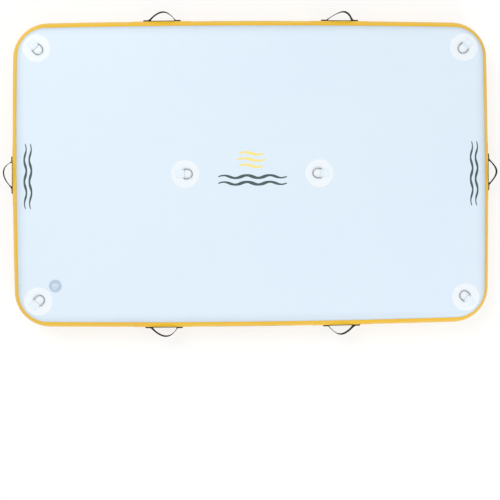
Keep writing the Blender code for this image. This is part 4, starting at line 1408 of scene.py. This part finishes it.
@dataclass
class CarryHandle:
    """One webbing handle: the patch on the band, the strap on the patch, and the grip sewn to it."""

    name: str
    side: Side
    along: float
    leans: Spot  # how far each half of the loop leans in, as a share of the span
    form: PlatformForm
    shop: Workshop
    patch_length: float = 300 * MM
    patch_height: float = 123 * MM
    patch_corner: float = 26 * MM
    width: float = 50 * MM
    thickness: float = 2.5 * MM
    base_length: float = 190 * MM
    span: float = 138 * MM
    reach: float = 52 * MM
    tail: float = 24 * MM
    base_lift: float = 1.8 * MM  # of the base strap off the band
    tail_lift: float = 4.45 * MM  # of the grip's tails off the band
    axis_lift: float = 12.6 * MM  # of the swing's axis off the band
    root_drop: float = 8 * MM  # of the loop's roots below the axis
    swing: float = 40.0  # degrees each way
    bending: Spot = (-4.5 * MM, 34 * MM)  # where the webbing bends, out from the axis
    droops: Spot = (3.5, 8.0)  # degrees that a loop's lower edge hangs out, on a long side and an end
    stitch_pitch: float = 3.1 * MM

    def build(self) -> None:
        """Builds the handle from the band outwards."""
        joint = next(j for j in frame["joints"] if j["name"] == f"grip_{self.name}_swing")
        self.pivot = np.array(joint["pos_m"])
        self.heading = np.array(joint["axis"])
        self.outward = np.cross(UP, self.heading)
        self.patch()
        self.base_strap()
        self.grip()
        self.stitching()

    def on_wall(self, along: Array, climb: Array, lift: Array) -> Array:
        """Returns points off the band, from the handle's own place along the wall."""
        world = self.along + self.side.sense * along
        return self.form.wall(self.side, world, climb, self.form.band_lift + lift)

    def patch(self) -> None:
        """Builds the yellow oblong that is glued to the band, with a thin edge and round corners."""
        insets = np.array([0, 0.5, 1.4, 3.2, 7, 13, 21, 30, 40, 50, 58]) * MM
        lifts = np.array([0.25, 0.75, 1.05, 1.2] + [1.3] * 7) * MM
        rings = rounded_rings(self.patch_length / 2, self.patch_height / 2, self.patch_corner, insets)
        draft = Draft()
        draw_pad(draft, rings, lifts, 0.05 * MM, lambda s, t, lift: self.on_wall(s, t, self.puckered(s, t, lift)))
        self.shop.make(f"band_patch_{self.name}", draft, PATCH_YELLOW, f"handle_patch_{self.name}", sharp=60)

    def puckered(self, along: Array, climb: Array, lift: Array) -> Array:
        """Adds the small creases beside the strap's two ends.

        Args:
            along: from the handle's middle.
            climb: up the wall.
            lift: of the even patch.

        Returns:
            The lift of the creased patch.
        """
        beyond = (np.abs(along) - self.base_length / 2) / (22 * MM)
        fade = np.exp(-((beyond - 0.25) ** 2) * 5) * np.exp(-((climb / (30 * MM)) ** 2))
        crease = np.cos(climb / (5.2 * MM) + 0.7 * np.sign(along)) * fade
        return lift + 0.45 * MM * crease * smoothstep(lift / (1.2 * MM))

    def base_strap(self) -> None:
        """Builds the flat strap that lies on the patch, curved with the wall."""
        along = np.linspace(-0.5, 0.5, 61) * self.base_length
        lift = self.base_lift + self.thickness / 2
        radius = self.form.side_radius + lift

        def bend(_: Array, sideways: Array) -> Array:
            """Returns the lift that curves the strap with the wall."""
            return np.sqrt(radius**2 - sideways**2) - radius

        path = self.on_wall(along, 0 * along, 0 * along + lift)
        across, outward = (np.tile(way, (len(along), 1)) for way in (UP, self.outward))
        draft = Draft()
        Strap(path, across, outward, self.width, self.thickness, 2.2 * MM, bend).draw(draft)
        self.shop.make(f"flat_strap_{self.name}", draft, WEBBING_BLACK, f"base_strap_{self.name}", sharp=60)

    def grip_path(self) -> Array:
        """Draws the grip's middle line, with the sewn tails at both ends.

        Returns:
            Points of (along, out from the axis).
        """
        half = self.span / 2
        end = -self.root_drop * math.cos(math.radians(self.swing / 3))
        crest = self.reach - self.thickness / 2 - self.axis_lift
        rise = (crest - end) * 4 / 3
        left, right = (self.span * lean for lean in self.leans)
        share = np.linspace(0.045, 0.955, 15)[:, None]
        rest = 1 - share
        weights = np.concatenate([rest**3, 3 * rest**2 * share, 3 * rest * share**2, share**3], 1)
        spots = np.array([(-half, end), (left - half, end + rise), (half - right, end + rise), (half, end)])
        loop = weights @ spots
        flat = self.tail_lift + self.thickness / 2 - self.axis_lift
        start = [(-half - self.tail, flat), (-half - 9 * MM, flat), (-half - 1 * MM, flat)]
        finish = [(-x, y) for x, y in reversed(start)]
        return even_path(softened(np.concatenate([start, loop, finish])), 2.4 * MM)

    def grip(self) -> None:
        """Builds the webbing loop, sewn flat at its two ends, that bends where it leaves the strap."""
        path = self.grip_path()
        points = self.pivot + laid(path, self.heading, self.outward)
        outward = laid(left_of(path), self.heading, self.outward)
        seated = 1 - smoothstep((path[:, 1] + 6 * MM) / (20 * MM))
        droop = (math.radians(self.droops[0 if self.side.is_long else 1]) * (1 - seated))[:, None]
        across = np.cos(droop) * UP - np.sin(droop) * outward
        outward = np.sin(droop) * UP + np.cos(droop) * outward
        radius = self.form.side_radius + 6 * MM
        cup = 0.6 * MM * np.sin(np.linspace(0, math.pi, len(path)))

        def bend(number: Array, sideways: Array) -> Array:
            """Returns the lift that curves the strap with the wall, and cups the loop a little."""
            on_wall = np.sqrt(radius**2 - sideways**2) - radius
            return on_wall * seated[number] - cup[number] * (sideways * 2 / self.width) ** 2

        draft = Draft()
        Strap(points, across, outward, self.width, self.thickness, 1.6 * MM, bend).draw(draft)
        node = f"grip_{self.name}"
        obj = self.shop.make(f"webbing_grip_{self.name}", draft, WEBBING_BLACK, node, body="", sharp=60)
        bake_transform(obj)

    def stitching(self) -> None:
        """Builds the crossed box of thread that holds each end of the grip."""
        lift = self.tail_lift + self.thickness
        draft = Draft()
        for end in (-1, 1):
            inner = end * (self.span / 2 + 3.5 * MM)
            outer = end * (self.span / 2 + self.tail - 3 * MM)
            high = self.width / 2 - 4 * MM
            box = [(inner, -high), (outer, -high), (outer, high), (inner, high), (inner, -high)]
            for line in (box, [(inner, -high), (outer, high)], [(inner, high), (outer, -high)]):
                places = even_path(np.array(line), self.stitch_pitch)
                middles = (places[:-1] + places[1:]) / 2
                steps = places[1:] - places[:-1]
                here = self.on_wall(middles[:, 0], middles[:, 1], 0 * middles[:, 0] + lift)
                ahead = self.on_wall(*(middles + 0.01 * steps).T, 0 * middles[:, 0] + lift)
                slope = middles[:, 1] / self.form.side_radius
                normals = np.cos(slope)[:, None] * self.outward + np.sin(slope)[:, None] * UP
                draw_stitches(draft, here, ahead - here, normals, 0.84 * self.stitch_pitch, 0.42 * MM)
        self.shop.make(f"grip_stitches_{self.name}", draft, THREAD_BLACK, sharp=80)


@dataclass
class RingMount:
    """One D-ring: the welded round patch, the folded keeper and the steel ring."""

    name: str
    place: Spot
    heading: float  # degrees about +Z, the way that the bow points
    form: PlatformForm
    shop: Workshop
    patch_radius: float = 70 * MM
    setback: float = 8 * MM  # of the ring's bar behind the patch's middle
    bar_lift: float = 5.8 * MM
    bow_drop: float = 1.5 * MM  # of the bow below the bar
    wire: float = 2.5 * MM
    ring_width: float = 48 * MM
    ring_depth: float = 42 * MM
    ring_corner: float = 4.5 * MM
    keeper_width: float = 38 * MM
    keeper_thickness: float = 1.2 * MM
    keeper_tail: float = 42 * MM
    keeper_slope: float = 30.0  # degrees
    slack: float = 0.3 * MM  # between the bar and the keeper

    def build(self) -> None:
        """Builds the mount from the deck upwards."""
        turn = math.radians(self.heading)
        self.ahead = np.array([math.cos(turn), math.sin(turn), 0.0])
        self.aside = np.array([-math.sin(turn), math.cos(turn), 0.0])
        self.bar = np.array([*self.place, self.form.thickness + self.bar_lift]) - self.setback * self.ahead
        self.patch()
        self.keeper()
        self.ring()

    def patch(self) -> None:
        """Builds the round patch with its pressed rim, which follows the deck's shoulder at a corner."""
        insets = np.array([0, 0.5, 1.3, 2.6, 5.0, 6.0, 7.0, 8.0, 9.0, 14, 24, 38, 52, 64]) * MM
        lifts = np.array([0.15, 0.6, 0.9, 1.05, 1.1, 1.25, 1.42, 1.48] + [1.5] * 6) * MM
        rings = np.array([circle(self.patch_radius - inset, 96) for inset in insets]) + self.place
        draft = Draft()
        draw_pad(draft, rings, lifts, 0.03 * MM, self.form.deck)
        self.shop.make(f"round_patch_{self.name}", draft, WELD_WHITE, f"ring_patch_{self.name}", sharp=60)

    def keeper(self) -> None:
        """Builds the tab, folded round the ring's bar and welded down on itself and on the patch."""
        inner = self.wire + self.slack
        middle = inner + self.keeper_thickness / 2
        slope = math.radians(self.keeper_slope)
        turn = np.linspace(-QUARTER, QUARTER + slope, 22)
        fold = middle * np.stack([np.cos(turn), np.sin(turn)], 1)
        seam = self.keeper_thickness / 2 - inner
        leave = fold[-1]
        neck = leave[0] - (leave[1] - seam) / math.tan(slope)
        upper = softened(np.array([leave, (neck, seam), (neck - 5 * MM, seam)]))
        path = np.concatenate([
            [(-self.keeper_tail, -middle), (-self.keeper_tail + 1 * MM, -middle)],
            np.stack([np.linspace(-self.keeper_tail + 2 * MM, -1 * MM, 24), np.full(24, -middle)], 1),
            fold, upper[1:],
            np.stack([np.linspace(neck - 7 * MM, -self.keeper_tail, 22), np.full(22, seam)], 1),
        ])
        path = even_path(path, 0.8 * MM)
        points = self.bar + laid(path, self.ahead, UP)
        outward = -laid(left_of(path), self.ahead, UP)
        across = np.tile(self.aside, (len(path), 1))
        draft = Draft()
        thickness = self.keeper_thickness - 0.04 * MM
        Strap(points, across, outward, self.keeper_width, thickness, 9 * MM).draw(draft)
        self.shop.make(f"folded_keeper_{self.name}", draft, KEEPER_WHITE, f"keeper_{self.name}", sharp=60)

    def ring(self) -> None:
        """Builds the D-ring, whose bow rests on the patch."""
        half, corner = self.ring_width / 2, self.ring_corner
        bow = np.linspace(-QUARTER, QUARTER, 49)
        low, high = np.linspace(-math.pi, -QUARTER, 9), np.linspace(QUARTER, math.pi, 9)
        path = np.concatenate([
            np.stack([corner + corner * np.cos(low), corner - half + corner * np.sin(low)], 1),
            np.stack([self.ring_depth - half + half * np.cos(bow), half * np.sin(bow)], 1),
            np.stack([corner + corner * np.cos(high), half - corner + corner * np.sin(high)], 1),
            np.stack([np.zeros(9), np.linspace(half - corner, corner - half, 11)[1:-1]], 1),
        ])
        tilt = math.asin(self.bow_drop / self.ring_depth)
        forward = math.cos(tilt) * self.ahead - math.sin(tilt) * UP
        plane = np.cross(forward, self.aside)
        points = self.bar + laid(path, forward, self.aside)
        draft = Draft()
        draw_tube(draft, points, plane, self.wire)
        node = f"d_ring_{self.name}"
        self.shop.make(f"steel_ring_{self.name}", draft, RING_STEEL, node, body=node, sharp=80)


@dataclass
class AirValve:
    """The air valve: its moulded body, spring, cap and tether. The stem, seals and clamp keep the frame's solids."""

    shop: Workshop
    deck: float = PlatformForm.thickness
    place: Spot = VALVE_PLACE
    flange_radius: float = 30.5 * MM
    flange_top: float = 3.8 * MM
    barrel_radius: float = 19.5 * MM
    bore: float = 16 * MM
    cap_radius: float = 18 * MM
    cap_top: float = 6.8 * MM
    cap_seating: float = 4.1 * MM
    ribs: int = 36
    spring_radius: float = 4.2 * MM
    spring_wire: float = 0.5 * MM
    spring_turns: int = 6
    spring_ends: Spot = (-26.7 * MM, -13.8 * MM)  # heights of its foot and head, from the deck
    press: float = 5 * MM  # how far the stem goes down
    inner_nodes: dict[str, Finish] = field(default_factory=lambda: {
        "valve_gasket": RUBBER_BLACK, "valve_nut": VALVE_GREY, "valve_stem": VALVE_GREY,
        "valve_seal": RUBBER_BLACK, "seal_plate": VALVE_GREY, "cap_seal": RUBBER_BLACK,
    })

    def build(self) -> None:
        """Builds the four pieces, and dresses the nodes that stay."""
        self.body()
        self.spring()
        self.cap()
        self.tether()
        for node, finish in self.inner_nodes.items():
            self.shop.dress_node(node, finish)

    def at(self, height: float = 0.0) -> tuple[float, float, float]:
        """Returns a point of the axis, at a height above the deck."""
        return *self.place, self.deck + height

    def body(self) -> None:
        """Builds the flange with its raised rim and grip notches, the barrel and seat, and the stem's guide."""
        m = MM
        corners = [
            (self.flange_radius, 0.3 * m, 0), (self.flange_radius, 2.5 * m, 0.9 * m),
            (29.0 * m, self.flange_top, 0.6 * m), (26.6 * m, self.flange_top, 0.5 * m), (25.6 * m, 3.0 * m, 0.5 * m),
            (20.6 * m, 3.0 * m, 0.4 * m), (20.0 * m, self.flange_top, 0.3 * m), (self.bore, self.flange_top, 0.4 * m),
            (self.bore, -36 * m, 0.5 * m), (12 * m, -36 * m, 0.4 * m), (12 * m, -40 * m, 0),
            (self.barrel_radius, -40 * m, 0.5 * m), (self.barrel_radius, 0.3 * m, 0), (23 * m, 0.3 * m, 0),
            (23 * m, 1.9 * m, 0), (27.5 * m, 1.9 * m, 0), (27.5 * m, 0.3 * m, 0),
        ]

        def notches(radius: Array, height: Array, angle: Array) -> tuple[Array, Array]:
            """Returns the rim with twelve shallow grip notches."""
            on_rim = (radius > 28.4 * m) & (height > 0.6 * m)
            return radius - np.where(on_rim, 0.55 * m * np.clip(np.cos(12 * angle) * 3 - 2.1, 0, 1), 0), height

        draft = Draft()
        draw_turned(draft, rounded_profile(corners), self.at(), 144, notches)
        self.guide(draft)
        self.shop.make("inflation_valve", draft, VALVE_GREY, "valve_body", sharp=45)

    def guide(self, draft: Draft) -> None:
        """Draws the hub that guides the stem, and its three spokes.

        Args:
            draft: the mesh being drawn.
        """
        hub = rounded_profile([
            (5.5 * MM, -31 * MM, 0.3 * MM), (5.5 * MM, -27 * MM, 0.5 * MM),
            (2.8 * MM, -27 * MM, 0.2 * MM), (2.8 * MM, -31 * MM, 0.2 * MM),
        ])
        draw_turned(draft, hub, self.at(), 36)
        for index in range(3):
            turn = index * 2 * math.pi / 3
            ahead, aside = np.array([math.cos(turn), math.sin(turn)]), np.array([-math.sin(turn), math.cos(turn)])
            corners = np.array([(-1.5, -30.25), (1.5, -30.25), (1.5, -27.75), (-1.5, -27.75)]) * MM
            ends = [self.place + out * ahead + corners[:, :1] * aside for out in (5.0 * MM, 17.0 * MM)]
            rows = [np.concatenate([plan, self.deck + corners[:, 1:]], 1) for plan in ends]
            draft.bar(np.array(rows), np.zeros((2, 5, 2)) + np.arange(5)[None, :, None] * MM)

    def spring(self) -> None:
        """Builds the coil spring round the stem, with closer end turns."""
        foot, head = self.spring_ends
        turned = np.linspace(0, self.spring_turns, 24 * self.spring_turns + 1)
        climb = 0.5 + smoothstep(np.minimum(turned, self.spring_turns - turned) - 0.5)
        rise = np.cumsum(climb) - climb[0]
        height = foot + self.spring_wire + (head - foot - 2 * self.spring_wire) * rise / rise[-1]
        turn = 2 * math.pi * turned
        radial = np.stack([np.cos(turn), np.sin(turn), 0 * turn], 1)
        path = self.spring_radius * radial + height[:, None] * UP
        binormal = np.cross(radial, unit(np.gradient(path, axis=0)))
        angle = np.linspace(0, 2 * math.pi, 11)
        section = np.cos(angle[:-1])[:, None] * radial[:, None] + np.sin(angle[:-1])[:, None] * binormal[:, None]
        points = np.array(self.at()) + path[:, None] + self.spring_wire * section
        draft = Draft()
        draft.bar(points, cloth_grid(lengths_along(path), angle * self.spring_wire))
        obj = self.shop.make("coil_spring", draft, SPRING_STEEL, "valve_spring", sharp=60)
        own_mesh(obj)

    def tether(self) -> None:
        """Builds the cap's rubber tether: a ring in the bore, a drop, and an eye on the cap's post."""
        m = MM
        draft = Draft()
        for outer, inner, top, low in ((15.7, 13.3, -2.3, -3.7), (5.5, 2.3, 3.3, 1.9)):
            corners = [(outer, top), (outer, low), (inner, low), (inner, top)]
            profile = rounded_profile([(radius * m, height * m, 0.3 * m) for radius, height in corners])
            draw_turned(draft, profile, self.at(), 72)
        bends = np.array([(4.6, 2.6), (8.6, 2.6), (10.1, 2.2), (10.1, -2.6), (11.2, -3.0), (14.2, -3.0)]) * m
        run = even_path(softened(bends, 2), 0.6 * m)
        ahead = np.array([1.0, 0.0, 0.0])
        path, outward = np.array(self.at()) + laid(run, ahead, UP), laid(left_of(run), ahead, UP)
        Strap(path, np.tile([0.0, 1.0, 0.0], (len(run), 1)), outward, 5 * m, 1 * m).draw(draft)
        obj = self.shop.make("cap_strap", draft, RUBBER_BLACK, "cap_tether", body="", sharp=50)
        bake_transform(obj)

    def cap(self) -> None:
        """Builds the screw cap: a ribbed rim, a shallow dish and three finger dents."""
        m = MM
        corners = [
            (0, 6.35 * m, 0), (14.2 * m, 6.35 * m, 0.7 * m), (15.1 * m, self.cap_top, 0.6 * m),
            (17.3 * m, self.cap_top, 0.6 * m), (self.cap_radius, 5.9 * m, 0.5 * m),
            (self.cap_radius, self.cap_seating, 0.2 * m),
            (15.5 * m, self.cap_seating, 0), (15.5 * m, 3.3 * m, 0), (14.1 * m, 3.3 * m, 0), (14.1 * m, 1.3 * m, 0),
            (15.5 * m, 1.3 * m, 0), (15.5 * m, -2 * m, 0.3 * m), (12.5 * m, -2 * m, 0.3 * m), (12.5 * m, 3.6 * m, 0),
            (2 * m, 3.6 * m, 0), (2 * m, 1.6 * m, 0), (3.2 * m, 1.6 * m, 0), (2 * m, 0.2 * m, 0), (0, 0.2 * m, 0),
        ]
        profile = rounded_profile(corners, loop=False)
        dish = profile[1][0]
        radii = np.linspace(0.4 * m, dish, 36)
        profile = np.concatenate([profile[:1], np.stack([radii, np.full(36, profile[0][1])], 1), profile[2:]])
        dents = [(x * m, -8.0 * m, 2.6 * m, 2.3 * m) for x in (-8.6, 0, 8.6)]
        ribs = self.ribs

        def shape(radius: Array, height: Array, angle: Array) -> tuple[Array, Array]:
            """Cuts the ribs round the cap's rim and the dents in its top.

            Args:
                radius: of the plain profile's points.
                height: of these points.
                angle: round the axis.

            Returns:
                The new radius and height.
            """
            on_rim = (radius > 17.0 * m) & (height > 4.0 * m)
            groove = 0.5 - 0.5 * np.cos(ribs * angle)
            x, y = radius * np.cos(angle), radius * np.sin(angle)
            on_top = height > 5.9 * m
            for dent_x, dent_y, size, depth in dents:
                away = np.hypot(x - dent_x, y - dent_y) / size
                height = height - np.where(on_top, depth * smoothstep((1.12 - away) / 0.28), 0)
            return radius - np.where(on_rim, 0.42 * m * groove, 0), height

        draft = Draft()
        draw_turned(draft, profile, self.at(), 216, shape, ring=False)
        self.shop.make("screw_cap", draft, CAP_GREY, "valve_cap", body="cap", sharp=42)


@dataclass(frozen=True)
class WaveMark:
    """A print of wave strokes, one above another."""

    name: str
    length: float
    height: float
    finish: Finish
    place: Spot = (0.0, 0.0)
    turn: float = 0.0  # degrees
    waves: int = 3
    rows: int = 2

    def stroke(self, row: int) -> tuple[Array, Array]:
        """Gives one of the strokes.

        Args:
            row: its number, from the lowest.

        Returns:
            The points of its middle line, and half its thickness at each.
        """
        pitch = self.height / self.rows
        from_middle = row - (self.rows - 1) / 2
        length = self.length * (1 - 0.14 * abs(from_middle))
        rise, thick = 0.40 * pitch, 0.50 * pitch
        share = np.linspace(0, 1, 48 * self.waves + 1)
        turn = 2 * math.pi * self.waves * share
        line = np.stack([(share - 0.5) * length, from_middle * pitch + 0.5 * rise * np.sin(turn)], 1)
        swell = 0.74 + 0.26 * np.cos(turn) ** 2
        return line, 0.5 * thick * swell * np.sin(math.pi * np.clip(share, 0.002, 0.998)) ** 0.35


@dataclass
class PrintedMarks:
    """Plain wave ribbons printed on the deck and on the two long sides."""

    form: PlatformForm
    shop: Workshop
    lift: float = 0.14 * MM
    film: float = 0.10 * MM
    deck_marks: tuple[WaveMark, ...] = (
        WaveMark("printed_waves_middle", 372 * MM, 66 * MM, SLATE_INK, (0.0, -32 * MM)),
        WaveMark("printed_crest_middle", 145 * MM, 93 * MM, YELLOW_INK, (-6 * MM, 70 * MM), waves=1, rows=3),
        WaveMark("printed_waves_left_end", 350 * MM, 50 * MM, SLATE_INK, (-1117 * MM, -7 * MM), 90.0),
        WaveMark("printed_waves_right_end", 350 * MM, 50 * MM, SLATE_INK, (1117 * MM, -7 * MM), 90.0),
    )

    def build(self) -> None:
        """Prints the deck's marks and the sides' marks."""
        for mark in self.deck_marks:
            self.deck_mark(mark)
        for side in (Side.FRONT, Side.BACK):
            self.side_mark(side)

    def print_on(self, mark: WaveMark, surface: Surface) -> None:
        """Prints a mark's strokes as thin films on a surface.

        Args:
            mark: the mark.
            surface: gives the points at (across, up, lift).
        """
        draft = Draft()
        reach = np.concatenate([np.linspace(1, -1, 5), np.linspace(-1, 1, 5)])
        lifts = np.repeat([self.lift, self.lift - self.film], 5)
        for row in range(mark.rows):
            line, half = mark.stroke(row)
            spots = line[None] + left_of(line)[None] * half[None, :, None] * reach[:, None, None]
            level = np.repeat(lifts[:, None], len(line), 1)
            first = draft.grid(surface(spots[..., 0], spots[..., 1], level), closed(spots), loop_rows=True)
            for column in (0, len(line) - 1):
                draft.add_face(range(first + column, draft.count, len(line)), spots[:, column])
        self.shop.make(mark.name, draft, mark.finish, sharp=60)

    def deck_mark(self, mark: WaveMark) -> None:
        """Prints a mark on the deck, turned about its middle.

        Args:
            mark: the mark.
        """
        cos, sin = math.cos(math.radians(mark.turn)), math.sin(math.radians(mark.turn))

        def surface(x: Array, y: Array, lift: Array) -> Array:
            """Returns points on the deck from points of the mark."""
            return self.form.deck(mark.place[0] + cos * x - sin * y, mark.place[1] + sin * x + cos * y, lift)

        self.print_on(mark, surface)

    def side_mark(self, side: Side) -> None:
        """Prints waves on the middle of a long side.

        Args:
            side: the side.
        """

        def surface(along: Array, climb: Array, lift: Array) -> Array:
            """Returns points on the band from points of the mark."""
            return self.form.wall(side, along, climb, self.form.band_lift + 0.25 * MM + lift)

        self.print_on(WaveMark(f"printed_waves_{side.name.lower()}", 450 * MM, 76 * MM, SLATE_INK), surface)


# The studio ------------------------------------------------


@dataclass
class Studio:
    """The pale floor, the soft light and the camera."""

    frame_pixels: float = 500.0
    camera_height: float = 4.795
    lens: float = 66.3
    sensor: float = 36.0
    shift_down: float = 76.3  # pixels of the frame, from its middle up to the platform's
    roll: float = -0.4  # degrees
    stand_left: float = 150 * MM  # of the camera from the platform's middle
    aim_left: float = 13 * MM
    aim_height: float = 0.19
    sky: float = 0.64
    softboxes: tuple[tuple, ...] = (  # name, place, side, watts
        ("key_softbox", (-4.5, 5.0, 9.0), 5.0, 400.0), ("fill_softbox", (3.0, -6.0, 4.0), 4.0, 150.0),
    )
    floor_half: float = 14.0
    floor_drop: float = 0.5 * MM  # below the platform
    floor_colours: Spot = (0.82, 0.34)  # greys for the light on the platform, and for the camera
    floor_glow: float = 0.68  # that lifts the camera's grey to white

    def build(self) -> None:
        """Sets up the view, the light, the floor and the camera."""
        scene = bpy.context.scene
        scene.view_settings.view_transform = "Standard"
        self.light_sky()
        for softbox in self.softboxes:
            self.light(*softbox)
        self.floor()
        self.camera()

    def backdrop(self, board: NodeBoard) -> Socket:
        """Marks the rays that should see a white background.

        Args:
            board: the nodes of the material or the world.

        Returns:
            1 for these rays, and otherwise 0.
        """
        rays = board.place("ShaderNodeLightPath").outputs
        seen = board.math("MAXIMUM", rays["Is Camera Ray"], rays["Is Glossy Ray"])
        return board.math("MAXIMUM", seen, rays["Is Transmission Ray"])

    def light_sky(self) -> None:
        """Lights the world evenly, and shows it white."""
        world = bpy.data.worlds.new("studio")
        bpy.context.scene.world = world
        world.use_nodes = True
        board = NodeBoard(world.node_tree)
        ground = world.node_tree.nodes["Background"]
        rise = board.times(self.backdrop(board), 1.0 - self.sky)
        board.fill(ground, {"Color": (1.0, 1.0, 1.0), "Strength": board.math("ADD", rise, self.sky)})

    def light(self, name: str, place: tuple[float, float, float], size: float, power: float) -> None:
        """Hangs a square softbox that faces the platform.

        Args:
            name: its name.
            place: of its middle.
            size: of its side.
            power: in watts.
        """
        data = bpy.data.lights.new(name, "AREA")
        data.shape = "SQUARE"
        data.size = size
        data.energy = power
        lamp = bpy.data.objects.new(name, data)
        bpy.context.scene.collection.objects.link(lamp)
        lamp.location = place
        lamp.rotation_euler = Vector(place).to_track_quat("Z", "Y").to_euler()
        lamp.visible_camera = False

    def floor(self) -> None:
        """Lays the pale floor, which keeps the platform's shadow and otherwise shows white."""
        draft = Draft()
        plan = np.array([(-1, -1), (1, -1), (1, 1), (-1, 1)]) * self.floor_half
        draft.add_points(at_height(plan, 0.0))
        draft.add_face(range(4), plan)
        obj = bpy.data.objects.new("studio_floor", draft.mesh("studio_floor", solid=False))
        bpy.context.scene.collection.objects.link(obj)
        obj.location.z = -self.floor_drop
        material = bpy.data.materials.new("pale_floor")
        material.use_nodes = True
        board = NodeBoard(material.node_tree)
        shader = material.node_tree.nodes["Principled BSDF"]
        seen = self.backdrop(board)
        greys = [(grey,) * 3 for grey in self.floor_colours]
        board.feed(shader.inputs["Base Color"], board.mix(seen, *greys))
        board.fill(shader, {"Roughness": 0.9, "Emission Color": (1.0, 1.0, 1.0)})
        board.feed(shader.inputs["Emission Strength"], board.times(seen, self.floor_glow))
        obj.data.materials.append(material)

    def camera(self) -> None:
        """Hangs the camera above the platform, a little to the left, with the photograph's frame."""
        data = bpy.data.cameras.new("camera")
        data.lens = self.lens
        data.sensor_width = self.sensor
        data.shift_y = -self.shift_down / self.frame_pixels
        camera = bpy.data.objects.new("camera", data)
        bpy.context.scene.collection.objects.link(camera)
        camera.location = (-self.stand_left, 0.0, self.camera_height)
        lean = math.atan2(self.stand_left - self.aim_left, self.camera_height - self.aim_height)
        camera.rotation_euler = (0.0, -lean, math.radians(self.roll))
        bpy.context.scene.camera = camera


HANDLES: dict[str, tuple[Side, float, Spot]] = {  # side, place along it, leans
    "back_left": (Side.BACK, -0.4521, (0.43, 0.32)),
    "back_right": (Side.BACK, 0.4521, (0.62, 0.20)),
    "front_left": (Side.FRONT, -0.4521, (0.26, 0.44)),
    "front_right": (Side.FRONT, 0.4521, (0.46, 0.38)),
    "left_end": (Side.LEFT, 0.0, (0.43, 0.18)),
    "right_end": (Side.RIGHT, 0.0, (0.40, 0.44)),
}
RINGS: dict[str, tuple[float, float, float]] = {  # X, Y, heading
    "back_left": (-1.070, 0.629, -45),
    "back_right": (1.070, 0.629, -135),
    "front_left": (-1.070, -0.629, 45),
    "front_right": (1.070, -0.629, 135),
    "middle_left": (-0.3359, 0.0, 0),
    "middle_right": (0.3359, 0.0, 180),
}


def main() -> None:
    """Builds the platform's sub-assemblies in order, and the studio round them."""
    logging.basicConfig(level=logging.INFO, format="%(message)s", stream=sys.stdout, force=True)
    shop, form = Workshop(), PlatformForm()
    AirDeck(form, shop).build()
    for name, (side, along, leans) in HANDLES.items():
        CarryHandle(name, side, along, leans, form, shop).build()
    for name, (x, y, heading) in RINGS.items():
        RingMount(name, (x, y), heading, form, shop).build()
    AirValve(shop).build()
    PrintedMarks(form, shop).build()
    Studio().build()
    LOG.info("%d pieces in all", shop.count)


if __name__ == "__main__":
    main()
